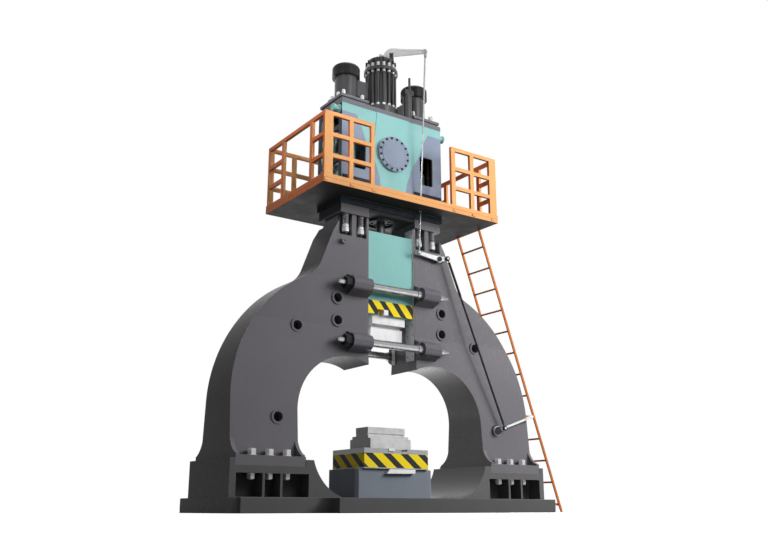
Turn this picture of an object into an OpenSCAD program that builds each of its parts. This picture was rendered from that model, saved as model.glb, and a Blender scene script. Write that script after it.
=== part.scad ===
// Hydraulic forging hammer with two arched frame halves, an anvil, a guided ram and a powered head.
// The origin is on the underside of the base plate, under the ram axis. X runs across the frame,
// minus Y is the operator's side and Z is up. Lengths are in millimetres.

/* [Base plate] */
// Half length of the plate, from the ram axis to its ends
plate_half_l = 2795; // [2775:1:2900]
// Half width of the plate under the legs
plate_half_w = 921.5; // [850:0.5:1000]
// Half length of the wide middle stretch
plate_mid_half_l = 1485; // [1300:5:1600]
// Half width of the wide middle stretch
plate_mid_half_w = 1229.5; // [1150:0.5:1300]
// Thickness of the plate
plate_t = 197; // [160:1:240]
// Radius of the fillets at the steps
plate_fillet_r = 150; // [100:5:200]
// Radius of the notches at the corners
plate_notch_r = 60; // [40:1:90]

/* [Pedestals] */
// Inner edge of a pedestal at its top
ped_in = 1532; // [1480:2:1560]
// Outer edge of a pedestal
ped_out = 2770; // [2740:1:2772]
// Half width of a pedestal
ped_half_w = 645; // [642:1:680]
// Height of the seat for the foot over the plate
seat_h = 403; // [370:1:440]
// Height of the lips that hold the foot at its ends
lip_h = 90; // [40:1:120]
// Radius of the hollow inner flank
flank_r = 700; // [600:5:800]
// Height of the bolt windows
window_h = 305; // [250:5:320]
// Depth of the bolt windows
window_depth = 260; // [200:5:300]

/* [Frame halves] */
// Inner face of a leg
leg_in = 1675; // [1665:1:1720]
// Outer face of a leg
leg_out = 2690; // [2650:1:2720]
// Height of the frame over its seat
frame_h = 4000; // [3960:1:4040]
// Height of the centre of the outer arch over the seat
outer_arch_h = 900; // [850:5:950]
// Radius of the outer arch
outer_arch_r = 2055; // [2020:1:2090]
// Height of the centre of the inner arch over the seat
inner_arch_h = 760; // [720:5:800]
// Radius of the inner arch
inner_arch_r = 855; // [830:1:880]
// Half width of the slot for the ram
slot_half = 448; // [446:0.5:452]
// Half thickness of the upper frame
frame_half_t = 302.5; // [300:0.5:310]
// Height over the seat where the leg starts to grow thicker
taper_top_h = 2050; // [1900:10:2150]
// Growth of the half thickness for each millimetre downward
taper = 0.08; // [0.06:0.005:0.09]
// Width of the neck at the height of its bend, from the ram axis
neck_half = 1082; // [1060:1:1100]
// Drop from the top of the frame to the bend of the neck
neck_bend_drop = 470; // [420:5:520]
// Radius of the hollow shoulder under the neck
shoulder_r = 450; // [380:5:520]
// Half length of the top flange
cap_half_l = 965; // [940:1:985]
// Half width of the top flange
cap_half_w = 330; // [325:1:345]
// Thickness of the top flange
cap_t = 150; // [120:1:170]
// Thickness of the foot
foot_t = 130; // [100:1:150]
// Half width of the foot
foot_half_w = 640; // [630:1:642]
// Radius of the hollow edge of the foot gussets
gusset_r = 330; // [300:5:335]
// Thickness of the foot gussets
gusset_t = 50; // [30:1:70]
// Bore of the four round bosses on a frame half
boss_hole_r = 70; // [50:1:80]
// Outer radius of the rings on the bosses
boss_r = 100; // [90:1:110]

/* [Foot bolts] */
// Radius of the foot bolts
foot_bolt_r = 36; // [28:1:40]
// Width of the bolt heads across the flats
foot_head_af = 108; // [96:1:140]
// Height of the bolt heads
foot_head_h = 90; // [80:1:140]
// Pitch of the bolts along the foot
foot_bolt_pitch = 260; // [230:1:280]
// Distance of the bolts from the centre plane
foot_bolt_y = 530; // [520:1:540]

/* [Anvil] */
// Half length of the anvil base
anvil_half_l = 690; // [650:1:740]
// Half width of the anvil base
anvil_half_w = 393; // [370:1:420]
// Height of the anvil base
anvil_h = 420; // [380:1:460]
// Half length of the sow block
sow_half_l = 578; // [540:1:620]
// Half width of the sow block
sow_half_w = 429; // [422:1:450]
// Height of the sow block
sow_h = 289; // [260:1:320]
// Half length of the lower die holder
low_holder_half_l = 370; // [360:1:400]
// Half width of the lower die holder
low_holder_half_w = 277; // [250:1:300]
// Height of the lower die holder
low_holder_h = 199; // [180:1:220]
// Height of the lower die
low_die_h = 130; // [110:1:150]
// Half length of the lower die
low_die_half_l = 340; // [310:1:358]
// Half width of both dies
die_half_w = 163; // [140:1:180]

/* [Ram] */
// Travel of the ram from where it hangs down to closed dies
stroke_down = 1330; // [1280:1:1345]
// Travel of the ram from where it hangs up to its top
stroke_up = 200; // [150:1:205]
// Half length of the ram
ram_half_l = 431.5; // [410:0.5:433]
// Half width of the ram
ram_half_w = 280; // [270:1:286]
// Gap left under the gland when the ram is at its top
ram_top_gap = 42; // [20:1:60]
// Height of the upper die
up_die_h = 185; // [170:1:200]
// Half length of the upper die
up_die_half_l = 298; // [280:1:310]
// Height of the neck over the upper die
die_neck_h = 50; // [40:1:60]
// Height of the upper die holder over its neck
up_holder_h = 134; // [120:1:150]
// Radius of the piston rod
rod_r = 70; // [60:1:80]
// Radius of the cylinder bore
bore_r = 150; // [130:1:165]
// Height of the piston
piston_h = 130; // [110:1:133]

/* [Guides] */
// Running gap between the ram and each liner
guide_gap = 0.5; // [0.3:0.1:1]
// Lowest point of the liners over the seat
liner_low_h = 1684; // [1640:2:1720]
// Number of screw rows of the liners
liner_rows = 13; // [8:1:16]
// Width of the front liners
front_liner_w = 220; // [180:2:240]
// Width of the rear liners
rear_liner_w = 90; // [70:2:140]

/* [Tie rods] */
// Radius of the tie rods
tie_r = 58; // [50:1:64]
// Distance of the tie rods from the centre plane
tie_y = 406; // [404:1:415]
// Height of the lower tie rods over the seat
tie_low_h = 1843; // [1800:1:1860]
// Height of the upper tie rods over the seat
tie_high_h = 2718; // [2690:1:2740]
// Outer radius of the tie rod sleeves
sleeve_r = 116; // [105:1:120]
// Length of a tie rod from the ram axis to its tip
tie_half_l = 1045; // [1020:1:1080]

/* [Head] */
// Half length of the head
head_half_l = 990; // [985:1:1010]
// Half width of the head
head_half_w = 356; // [350:1:365]
// Height of the head
head_h = 1680; // [1670:1:1760]
// Thickness of the head walls
head_wall = 40; // [30:1:50]
// Thickness of the head floor
head_floor = 100; // [85:1:120]
// Radius of the cylinder wall
cyl_r = 230; // [210:1:250]
// Radius of the round front cover
cover_r = 300; // [280:1:310]
// How far the round cover stands out
cover_t = 33; // [20:1:45]
// Number of bolts round the cover
cover_bolts = 16; // [8:1:20]
// Thickness of the top plate
top_t = 75; // [60:1:90]

/* [Buffer springs] */
// Radius of the buffer studs
stud_r = 20; // [16:1:24]
// Mean radius of the spring coils
spring_r = 39; // [34:1:40]
// Radius of the spring wire
wire_r = 8.5; // [6:0.5:9]
// Number of curls of each spring
spring_curls = 5; // [3:1:6]
// Length of the springs between their seats
spring_l = 170; // [150:1:190]

/* [Motors and pumps] */
// Distance of the motors from the ends of the head
motor_inset = 290; // [280:1:300]
// Radius of the motor bodies
motor_r = 187; // [170:1:195]
// Height of the motor bodies
motor_h = 461; // [420:1:500]
// Radius of the fan cowls
cowl_r = 230; // [215:1:245]
// Height of the fan cowls
cowl_h = 212; // [190:1:235]
// Radius of the motor shafts
shaft_r = 30; // [24:1:34]
// Radius of the pump bodies
pump_r = 170; // [150:1:171]

/* [Valve tower] */
// Radius of the upper tower flange
tower_flange_r = 290; // [280:1:300]
// Radius of the tower body
tower_r = 218; // [200:1:219]
// Height of the tower under its upper flange
tower_h = 829; // [800:1:860]
// Number of tower bolts
tower_bolts = 16; // [12:1:20]
// Height of the valve cap on the tower
cap_h = 195; // [170:1:220]
// Height of the valve lever over its cap
lever_rise = 122; // [110:1:140]
// Radius of the valve spool
spool_r = 45; // [35:1:55]

/* [Linkage] */
// Length of the hand lever from its pivot to its tip
handle_l = 850; // [800:5:900]
// Angle of the hand lever over the horizontal
handle_deg = 19; // [17:0.5:21]
// Distance of the crank pin from the lever pivot
crank_r = 144; // [135:1:155]
// Length of the long arm of the rocker
rocker_long = 428; // [415:1:440]
// Length of the short arm of the rocker
rocker_short = 160; // [155:1:170]
// Length of the short arm of the valve lever
valve_short = 187; // [180:1:195]
// Length of the long arm of the valve lever
valve_long = 583; // [570:1:595]
// Radius of the control rod
control_r = 14; // [9:1:15]
// Radius of the pull rod
pull_r = 21; // [16:1:24]
// Running gap of the pivots
pivot_gap = 0.06; // [0.03:0.01:0.09]

/* [Platform and ladder] */
// Left end of the platform
deck_left = -1514; // [-1600:2:-1480]
// Right end of the platform
deck_right = 1920; // [1880:2:1960]
// Front edge of the platform
deck_front = -716.5; // [-760:0.5:-700]
// Rear edge of the platform
deck_rear = 1123.5; // [1080:0.5:1180]
// Height of the deck edge over the frame top
deck_rise = 105; // [100:1:120]
// Height of the deck edge channel
edge_h = 135; // [110:1:150]
// Height of the top of the railing over the top of the deck edge
rail_h = 1022; // [980:1:1080]
// Width of the railing members
rail_w = 76; // [60:1:84]
// Distance of the ladder foot from the platform edge
ladder_run = 1640; // [1500:5:1750]
// Half width between the ladder rails
ladder_half = 292; // [250:1:300]
// Vertical pitch of the ladder rungs
rung_pitch = 357; // [280:1:380]

/* [Hidden] */
$fn = 72;
eps = 0.3;
seat_z = plate_t + seat_h;
ped_top = seat_z + lip_h;
foot_top = seat_z + foot_t;
frame_top = seat_z + frame_h;
cap_z = frame_top - cap_t;
inner_z = seat_z + inner_arch_h;
inner_x = leg_in - inner_arch_r;
outer_z = seat_z + outer_arch_h;
outer_x = leg_out - outer_arch_r;
taper_z = seat_z + taper_top_h;
bend_z = frame_top - neck_bend_drop;
neck_slope = 0.383;
flank_z = ped_top + 180;
flank_x = ped_in - sqrt(pow(flank_r, 2) - pow(flank_z - ped_top, 2));
window_top = plate_t + window_h;
window_low = plate_t + 6;
foot_mid = (leg_in + leg_out) / 2 - 32;
foot_in = leg_in - 18;
nut_h = 72;

anvil_top = plate_t + anvil_h;
sow_top = anvil_top + sow_h;
low_holder_top = sow_top + low_holder_h;
low_die_top = low_holder_top + low_die_h;
up_die_z = low_die_top + stroke_down;
up_neck_z = up_die_z + up_die_h;
up_holder_z = up_neck_z + die_neck_h;
ram_z = up_holder_z + up_holder_h;
gland_t = 98;
gland_plate_t = 62;
gland_r = 250;
gland_bolt_r = 140;
ram_top = frame_top - gland_t - stroke_up - ram_top_gap;
rod_seat = ram_top - 360;

liner_in = ram_half_l + guide_gap;
liner_low = seat_z + liner_low_h;
liner_top = cap_z - 20;
liner_half_w = frame_half_t - 2;
screw_margin = 70;
screw_rows = [for (i = [0:liner_rows - 1])
    liner_low + screw_margin + i * (liner_top - liner_low - 2 * screw_margin) / (liner_rows - 1)];
screw_edge = 40;
screw_cols = [-liner_half_w + screw_edge, -liner_half_w + front_liner_w - screw_edge,
    liner_half_w - rear_liner_w / 2];
screw_r = 6;
screw_head_r = 11;

head_z = frame_top;
head_top = head_z + head_h;
top_z = head_top + top_t;
proud = 6;
piston_z = head_z + 15 + stroke_down;
piston_bore_r = 45;
motor_x = head_half_l - motor_inset;
window_x0 = motor_x - 160;
window_x1 = motor_x + 105;
head_win_low = head_z + 615;
head_win_high = head_z + 1110;
window_corner_r = 35;

stud_x = [840, 563];
stud_y = frame_half_t - 42;
spring_low = cap_z - spring_l;
collar_h = 52;
buffer_nut_h = 72;
buffer_nut_r = 62;
pocket_low = spring_low - collar_h - buffer_nut_h - 58;
pocket_back = stud_y - buffer_nut_r - 9;

tie_low = seat_z + tie_low_h;
tie_high = seat_z + tie_high_h;
sleeve_in = slot_half + 27;
sleeve_out = 820;
sleeve_foot_half = 165;
shoulder_in = slot_half - 37;
shoulder_out = slot_half + 48;
tie_shoulder_r = 68;
tie_cone_x = sleeve_out + 92;
tie_stub_r = 42;
tie_nut_r = 94;
tie_nut_h = 115;

pad_t = 95;
pad_foot_t = 50;
pad_in = motor_x - 240;
pad_half_w = 330;
motor_z = top_z + pad_t;
motor_top = motor_z + motor_h;
motor_flange_t = 26;
pump_top = head_z + 960;
coupling_h = 130;
motor_foot = [238, 256];
motor_studs = [[205, 95], [180, 220]];
motor_stud_r = 16;
motor_nut_r = 33;
motor_nut_h = 108;

tower_top = top_z + tower_h;
tower_flange_t = 57;
valve_top = tower_top + tower_flange_t + cap_h;
tower_base_r = 275;
tower_base_t = 172;
tower_bolt_r = 247;
tower_bar_r = 20;
tower_nut_r = 27;
spool_low = tower_top - 45;
spool_high = valve_top - 50;

lever_z = valve_top + lever_rise;
lever_dir = -45;
lever_half_t = 12;
hub_x = 1985;
hub_z = seat_z + 665;
hand_y = -440;
pull_low_y = -478;
rocker_y = -(frame_half_t + 67.5);
rocker_half_t = 14;
pin_y = rocker_y - 30;
rocker_x = 906;
rocker_z = frame_top - 615;
long_deg = 175.06;
short_deg = 10.7;
rocker_left = [rocker_x + rocker_long * cos(long_deg), rocker_z + rocker_long * sin(long_deg)];
rocker_right = [rocker_x + rocker_short * cos(short_deg), rocker_z + rocker_short * sin(short_deg)];
crank = [hub_x + crank_r * cos(handle_deg), hub_z + crank_r * sin(handle_deg)];
valve_end = [(valve_short + valve_long) * cos(lever_dir), (valve_short + valve_long) * sin(lever_dir)];
hub_pin_r = 35;
crank_pin_r = 20;
rocker_pin_r = 25;
link_pin_r = 16;
lever_pin_r = 14;
loose = 5;

deck_low = frame_top + deck_rise;
deck_top = deck_low + edge_h;
deck_plate_t = 10;
rail_top = deck_top + rail_h;
rail_levels = [rail_top - rail_w + 10, rail_top - 406, rail_top - 744];
front_posts = [[deck_left, 159], [-1063, 82], [-669, 76], [930, 97], [1335, 90], [deck_right - 159, 159]];
rear_posts = [[deck_left, 100], [-1063, 82], [-200, 82], [600, 82], [1335, 90], [deck_right - 100, 100]];
side_posts = [deck_front + 385, 570];
gap_left = -669 + 76;
gap_right = 930;
ladder_top = deck_top - 40;
ladder_rail_w = 44;
ladder_rail_t = 20;
ladder_drop = 160;
rung_r = 16;
rung_low = 133;

// Copies the children to both sides of the ram axis
module both_x() {
    children();
    mirror([1, 0, 0]) children();
}

// Copies the children to the front and to the back
module both_y() {
    children();
    mirror([0, 1, 0]) children();
}

// Box between two corners
module block(a, b) {
    translate(a) cube(b - a);
}

// Outline in X and Z, drawn out along Y between two planes
module along_y(y0, y1) {
    translate([0, y1, 0]) rotate([90, 0, 0]) linear_extrude(height = y1 - y0) children();
}

// Outline in Y and Z, drawn out along X between two planes
module along_x(x0, x1) {
    translate([x0, 0, 0]) rotate([90, 0, 90]) linear_extrude(height = x1 - x0) children();
}

// Round bar along Y between two planes
module y_bar(x, z, r, y0, y1, sides = 72) {
    translate([x, y1, z]) rotate([90, 0, 0]) cylinder(r = r, h = y1 - y0, $fn = sides);
}

// Round bar along X between two planes
module x_bar(y, z, r, x0, x1, sides = 72) {
    translate([x0, y, z]) rotate([0, 90, 0]) cylinder(r = r, h = x1 - x0, $fn = sides);
}

// Upright round bar
module z_bar(x, y, r, z0, z1, sides = 72) {
    translate([x, y, z0]) cylinder(r = r, h = z1 - z0, $fn = sides);
}

// Round bar from one point to another
module bar_between(p, q, r) {
    d = q - p;
    l = norm(d);
    translate(p) rotate([0, acos(d[2] / l), atan2(d[1], d[0])]) rotate([0, 0, 40]) cylinder(r = r, h = l);
}

// Slab that fills the thickness of a frame half, wider where the leg grows thicker
module frame_thickness(x0, x1) {
    low_half = frame_half_t + taper * (taper_z - foot_top);
    along_x(x0, x1) polygon([
        [-frame_half_t, frame_top], [-frame_half_t, taper_z], [-low_half, foot_top], [-low_half, seat_z],
        [low_half, seat_z], [low_half, foot_top], [frame_half_t, taper_z], [frame_half_t, frame_top]
    ]);
}

// Base plate outline with its steps, fillets and corner notches
module plate_outline() {
    difference() {
        union() {
            square([2 * plate_half_l, 2 * plate_half_w], center = true);
            square([2 * plate_mid_half_l, 2 * plate_mid_half_w], center = true);
            both_x() mirror_y_2d() translate([plate_mid_half_l, plate_half_w]) difference() {
                square(plate_fillet_r);
                translate([plate_fillet_r, plate_fillet_r]) circle(r = plate_fillet_r);
            }
        }
        both_x() mirror_y_2d() translate([plate_half_l, plate_half_w]) circle(r = plate_notch_r);
    }
}

module mirror_y_2d() {
    children();
    mirror([0, 1]) children();
}

module base_plate() color([0.24, 0.24, 0.25]) {
    linear_extrude(height = plate_t) plate_outline();
}

// Places of the foot bolts of the right leg
function foot_bolt_x(i) = foot_mid + (i - 1) * foot_bolt_pitch;

module at_foot_bolts() {
    for (i = [0:2]) translate([foot_bolt_x(i), 0, 0]) both_y() translate([0, -foot_bolt_y, 0]) children();
}

// Side view of a pedestal: seat between two lips, hollow inner flank
module pedestal_outline() {
    difference() {
        polygon([
            [ped_in - 500, plate_t], [ped_out, plate_t], [ped_out, ped_top],
            [leg_out + 1, ped_top], [leg_out + 1, seat_z], [foot_in - 1, seat_z],
            [foot_in - 1, ped_top], [ped_in - 500, ped_top]
        ]);
        translate([flank_x, flank_z]) circle(r = flank_r, $fn = 360);
        translate([ped_in - 600, plate_t - 1]) square([flank_x - ped_in + 600, 1200]);
    }
}

// Windows between the upright ribs, each round one pair of foot bolts
module pedestal_windows() {
    rib = 36;
    low = foot_bolt_x(0) + foot_bolt_pitch / 2 - rib / 2;
    high = foot_bolt_x(2) - foot_bolt_pitch / 2 - rib / 2;
    spans = [[low - 394, low], [low + rib, high], [high + rib, high + rib + 377]];
    for (s = spans) both_y()
        block([s[0], -ped_half_w - 1, window_low], [s[1], -ped_half_w + window_depth, window_top]);
}

module pedestal() {
    difference() {
        along_y(-ped_half_w, ped_half_w) pedestal_outline();
        pedestal_windows();
        at_foot_bolts() z_bar(0, 0, foot_bolt_r + eps, window_top - 1, seat_z + 1);
    }
}

module pedestal_left() color([0.24, 0.24, 0.25]) mirror([1, 0, 0]) pedestal();
module pedestal_right() color([0.24, 0.24, 0.25]) pedestal();

// Places of the round bosses of the right half, and of the hub that only the left half leaves bare
boss_inset = 555.5;
boss_deg = 46.7;
boss_places = [[989, seat_z + 2490], [982, seat_z + 2150],
    [outer_x, outer_z] + (outer_arch_r - boss_inset) * [cos(boss_deg), sin(boss_deg)]];

// Point of the straight neck line at a height
function neck_x(z) = neck_half + (bend_z - z) * neck_slope;

// Centre of the circle that rounds the hollow between the outer arch and the neck
neck_len = norm([neck_slope, 1]);
neck_n = [1, neck_slope] / neck_len;
neck_t = [-neck_slope, 1] / neck_len;
neck_p = [neck_half, bend_z] + shoulder_r * neck_n - [outer_x, outer_z];
neck_b = neck_p * neck_t;
neck_c = neck_p * neck_p - pow(outer_arch_r + shoulder_r, 2);
neck_s = -neck_b + sqrt(neck_b * neck_b - neck_c);
shoulder_c = [outer_x, outer_z] + neck_p + neck_s * neck_t;
shoulder_a = [outer_x, outer_z] + (shoulder_c - [outer_x, outer_z]) * outer_arch_r / (outer_arch_r + shoulder_r);
shoulder_b = shoulder_c - shoulder_r * neck_n;

// Front view of the right frame half
module frame_outline() {
    difference() {
        union() {
            intersection() {
                translate([outer_x, outer_z]) circle(r = outer_arch_r, $fn = 180);
                translate([slot_half, outer_z]) square([leg_out, outer_arch_r]);
            }
            translate([slot_half, foot_top]) square([leg_out - slot_half, outer_z - foot_top]);
            polygon([
                [slot_half, outer_z], [neck_x(shoulder_b[1]), outer_z], shoulder_b,
                [neck_half, bend_z], [neck_half - 95, bend_z + 165], [cap_half_l - 36, cap_z - 30],
                [cap_half_l - 40, cap_z], [slot_half, cap_z]
            ]);
            difference() {
                polygon([[neck_half - 150, shoulder_b[1]], shoulder_b, shoulder_c, shoulder_a,
                    [neck_half - 150, shoulder_a[1] - 200]]);
                translate(shoulder_c) circle(r = shoulder_r, $fn = 120);
            }
        }
        translate([inner_x, inner_z]) circle(r = inner_arch_r, $fn = 120);
        translate([0, foot_top - 1]) square([leg_in, inner_z - foot_top + 1]);
        translate([0, foot_top - 1]) square([inner_x, inner_z + inner_arch_r * 0.9 - foot_top]);
    }
}

// Gusset between the leg and the front edge of the foot
module gusset_outline() {
    difference() {
        translate([-foot_half_w, foot_top]) square([foot_half_w - frame_half_t, gusset_r]);
        translate([-foot_half_w - 110, foot_top + gusset_r]) circle(r = gusset_r);
    }
}

module spring_pockets() {
    for (s = [[745, 980], [475, 665]]) both_y()
        block([s[0], -cap_half_w - 1, pocket_low], [s[1], -pocket_back, cap_z]);
}

module frame_half() {
    low_half = frame_half_t + taper * (taper_z - foot_top);
    difference() {
        union() {
            intersection() {
                along_y(-low_half, low_half) frame_outline();
                frame_thickness(0, leg_out + 1);
            }
            block([slot_half, -cap_half_w, cap_z], [cap_half_l, cap_half_w, frame_top]);
            block([foot_in, -foot_half_w, seat_z], [leg_out, foot_half_w, foot_top]);
            for (x = [leg_in, leg_out - gusset_t]) both_y() along_x(x, x + gusset_t) gusset_outline();
        }
        spring_pockets();
        for (b = boss_places) y_bar(b[0], b[1], boss_hole_r, -low_half - 1, -frame_half_t + 150);
        y_bar(rocker_x, rocker_z, rocker_pin_r, -frame_half_t - 1, -frame_half_t + 90);
        for (x = stud_x) both_y() z_bar(x, -stud_y, stud_r + eps, cap_z - 1, frame_top + 1);
        at_foot_bolts() z_bar(0, 0, foot_bolt_r + eps, seat_z - 1, foot_top + 1);
        for (z = screw_rows) for (y = screw_cols) x_bar(y, z, screw_r, slot_half - 1, slot_half + 40);
    }
}

module frame_left() color([0.37, 0.37, 0.385]) mirror([1, 0, 0]) difference() {
    frame_half();
    y_bar(hub_x, hub_z, boss_hole_r, -frame_half_t - 200, -frame_half_t + 60);
}

module frame_right() color([0.37, 0.37, 0.385]) difference() {
    frame_half();
    y_bar(hub_x, hub_z, hub_pin_r, -frame_half_t - 200, -frame_half_t + 40);
}

module foot_bolts() color([0.87, 0.87, 0.87]) both_x() at_foot_bolts() {
    z_bar(0, 0, foot_bolt_r, window_top - nut_h - 12, foot_top);
    z_bar(0, 0, foot_head_af / sqrt(3), foot_top, foot_top + foot_head_h, 6);
}

module foot_nuts() color([0.8, 0.8, 0.8]) both_x() at_foot_bolts() difference() {
    z_bar(0, 0, 56, window_top - nut_h, window_top, 6);
    z_bar(0, 0, foot_bolt_r + 0.05, window_top - nut_h - 1, window_top + 1);
}

module anvil_base() color([0.6, 0.64, 0.69]) linear_extrude_at(plate_t, anvil_h) {
    c = 45;
    polygon([
        [-anvil_half_l + c, -anvil_half_w], [anvil_half_l - c, -anvil_half_w], [anvil_half_l, -anvil_half_w + c],
        [anvil_half_l, anvil_half_w - c], [anvil_half_l - c, anvil_half_w], [-anvil_half_l + c, anvil_half_w],
        [-anvil_half_l, anvil_half_w - c], [-anvil_half_l, -anvil_half_w + c]
    ]);
}

module linear_extrude_at(z, h) {
    translate([0, 0, z]) linear_extrude(height = h) children();
}

// Wedge seats in the sow block: one over the anvil base, one under the die holder
key_low_h = 70;
key_x0 = -195;
key_x1 = 330;
key_out = 58;
sow_slot = [-150, 190];
sow_key_l = 105;

module sow_block() color([0.62, 0.66, 0.70]) difference() {
    block([-sow_half_l, -sow_half_w, anvil_top], [sow_half_l, sow_half_w, sow_top]);
    both_y() block([sow_slot[0], -sow_half_w - 1, sow_top - 36], [sow_slot[1], -low_holder_half_w - 20, sow_top + 1]);
    both_x() both_y() z_bar(sow_half_l - 60, sow_half_w - 60, 18, sow_top - 60, sow_top + 1);
}

module lower_die_holder() color([0.84, 0.84, 0.85]) difference() {
    block([-low_holder_half_l, -low_holder_half_w, sow_top], [low_holder_half_l, low_holder_half_w, low_holder_top]);
    both_y() block([-low_holder_half_l - 1, -low_holder_half_w - 1, low_holder_top - 40],
        [low_holder_half_l + 1, -low_holder_half_w + 60, low_holder_top + 1]);
}

module lower_die() color([0.87, 0.87, 0.87]) difference() {
    block([-low_die_half_l, -die_half_w, low_holder_top], [low_die_half_l, die_half_w, low_die_top]);
    both_y() block([-low_die_half_l - 1, -die_half_w - 1, low_holder_top + 18],
        [low_die_half_l + 1, -die_half_w + 12, low_holder_top + 34]);
}

// Wedges that lock the sow block on the anvil base and the die holder on the sow block
module anvil_keys() color([0.85, 0.85, 0.83]) {
    both_y() along_y(-anvil_half_w - key_out, -anvil_half_w) polygon([
        [key_x0, anvil_top - key_low_h], [key_x1 - 14, anvil_top - key_low_h + 8],
        [key_x1, anvil_top - 4], [key_x0 + 60, anvil_top - 4]
    ]);
    both_y() block([sow_slot[0] + eps, -sow_half_w - 12, sow_top - 36 + eps],
        [sow_slot[0] + sow_key_l, -low_holder_half_w - 20 - eps, sow_top - eps]);
}

// A wide guide plate at the front and a narrow one at the rear of each side of the slot
module guide_liners() color([0.72, 0.73, 0.74]) both_x() difference() {
    for (s = [[-liner_half_w, front_liner_w], [liner_half_w - rear_liner_w, rear_liner_w]])
        block([liner_in, s[0], liner_low], [slot_half, s[0] + s[1], liner_top]);
    for (z = screw_rows) for (y = screw_cols) {
        x_bar(y, z, screw_head_r, liner_in - 1, liner_in + 9);
        x_bar(y, z, screw_r, liner_in, slot_half + 1);
    }
}

module liner_screws() color([0.35, 0.35, 0.36]) both_x()
    for (z = screw_rows) for (y = screw_cols) difference() {
        union() {
            x_bar(y, z, screw_head_r - eps, liner_in + 1, liner_in + 9);
            x_bar(y, z, screw_r, liner_in + 9, slot_half + 38);
        }
        x_bar(y, z, screw_r - 1, liner_in, liner_in + 6, 6);
    }

module frame_bushes() color([0.5, 0.5, 0.52]) difference() {
    union() {
        both_x() for (b = boss_places) boss_ring(b[0], b[1]);
        mirror([1, 0, 0]) boss_ring(hub_x, hub_z);
        mirror([1, 0, 0]) y_bar(rocker_x, rocker_z, 45, -frame_half_t - 52, -frame_half_t + 5);
    }
    both_x() frame_thickness(0, leg_out);
    mirror([1, 0, 0]) y_bar(rocker_x, rocker_z, 13, -frame_half_t - 53, -frame_half_t + 60);
}

module boss_ring(x, z) {
    face = frame_half_t + taper * max(0, taper_z - z);
    difference() {
        y_bar(x, z, boss_r, -face - 16, -face + 12);
        y_bar(x, z, boss_hole_r, -face - 17, -face + 13);
    }
}

// Rods screwed into the right sleeves up to a shoulder, with a pointed right end and a nut on the left stub
module tie_rods() color([0.83, 0.83, 0.84]) both_y() for (z = [tie_low, tie_high]) {
    x_bar(-tie_y, z, tie_r, -sleeve_out - tie_nut_h, tie_cone_x);
    x_bar(-tie_y, z, tie_shoulder_r, shoulder_in, shoulder_out);
    x_bar(-tie_y, z, tie_stub_r, -tie_half_l + 25, -sleeve_out - tie_nut_h);
    translate([tie_cone_x, -tie_y, z]) rotate([0, 90, 0]) cylinder(r1 = tie_r, r2 = 14, h = tie_half_l - tie_cone_x);
    translate([-tie_half_l + 25, -tie_y, z]) rotate([0, -90, 0])
        cylinder(r1 = tie_stub_r, r2 = tie_stub_r - 20, h = 25);
}

// Sleeve on a foot that spreads toward the frame, from a start along the rod
module tie_rod_sleeve(x0, z) {
    difference() {
        union() {
            x_bar(-tie_y, z, sleeve_r, x0, sleeve_out);
            along_x(slot_half, sleeve_out) polygon([
                [-frame_half_t, z - sleeve_foot_half], [-frame_half_t, z + sleeve_foot_half],
                [-tie_y, z + sleeve_r - 1], [-tie_y, z - sleeve_r + 1]
            ]);
        }
        x_bar(-tie_y, z, tie_r + eps, x0 - 1, sleeve_out + 1);
        x_bar(-tie_y, z, tie_shoulder_r + eps, min(x0, slot_half) - 1, x0);
        frame_thickness(0, sleeve_out + 10);
    }
}

module tie_rod_sleeves() color([0.3, 0.3, 0.31]) both_y() for (z = [tie_low, tie_high]) {
    tie_rod_sleeve(shoulder_out, z);
    mirror([1, 0, 0]) tie_rod_sleeve(sleeve_in, z);
}

module tie_rod_nuts() color([0.3, 0.3, 0.31]) both_y() for (z = [tie_low, tie_high]) difference() {
    x_bar(-tie_y, z, tie_nut_r, -sleeve_out - tie_nut_h, -sleeve_out, 6);
    x_bar(-tie_y, z, tie_r + eps, -sleeve_out - tie_nut_h - 1, -sleeve_out + 1);
}

module ram() color([0.61, 0.83, 0.81]) difference() {
    block([-ram_half_l, -ram_half_w, ram_z], [ram_half_l, ram_half_w, ram_top]);
    z_bar(0, 0, rod_r, rod_seat, ram_top + 1);
    both_y() block([ram_slot[0], -ram_half_w - 1, ram_z - 1], [ram_slot[1], -up_holder_key_y, ram_z + ram_key_h]);
}

up_holder_half_l = 310;
up_holder_half_w = 225;
up_holder_key_y = 200;
ram_slot = [-226, -62];
ram_key_h = 80;
ram_key_l = 84;

module ram_key() color([0.86, 0.86, 0.85]) both_y() {
    block([ram_slot[1] - ram_key_l, -ram_half_w - 24, ram_z], [ram_slot[1], -up_holder_key_y, ram_z + ram_key_h]);
}

module upper_die_holder() color([0.84, 0.84, 0.85]) {
    block([-up_holder_half_l, -up_holder_half_w, up_holder_z], [up_holder_half_l, up_holder_half_w, ram_z]);
    block([-up_die_half_l + 24, -die_half_w + 26, up_neck_z], [up_die_half_l - 24, die_half_w - 26, up_holder_z]);
}

module upper_die() color([0.87, 0.87, 0.87])
    block([-up_die_half_l, -die_half_w, up_die_z], [up_die_half_l, die_half_w, up_neck_z]);

module piston_rod() color([0.8, 0.8, 0.82]) {
    z_bar(0, 0, rod_r, rod_seat, piston_z);
    z_bar(0, 0, piston_bore_r, piston_z, piston_z + piston_h);
}

ring_h = 12;

module piston() color([0.45, 0.45, 0.47]) difference() {
    z_bar(0, 0, bore_r - 0.5, piston_z, piston_z + piston_h);
    z_bar(0, 0, piston_bore_r, piston_z - 1, piston_z + piston_h + 1);
    for (i = [1:3]) ring_at(i, bore_r, 0);
}

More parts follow.
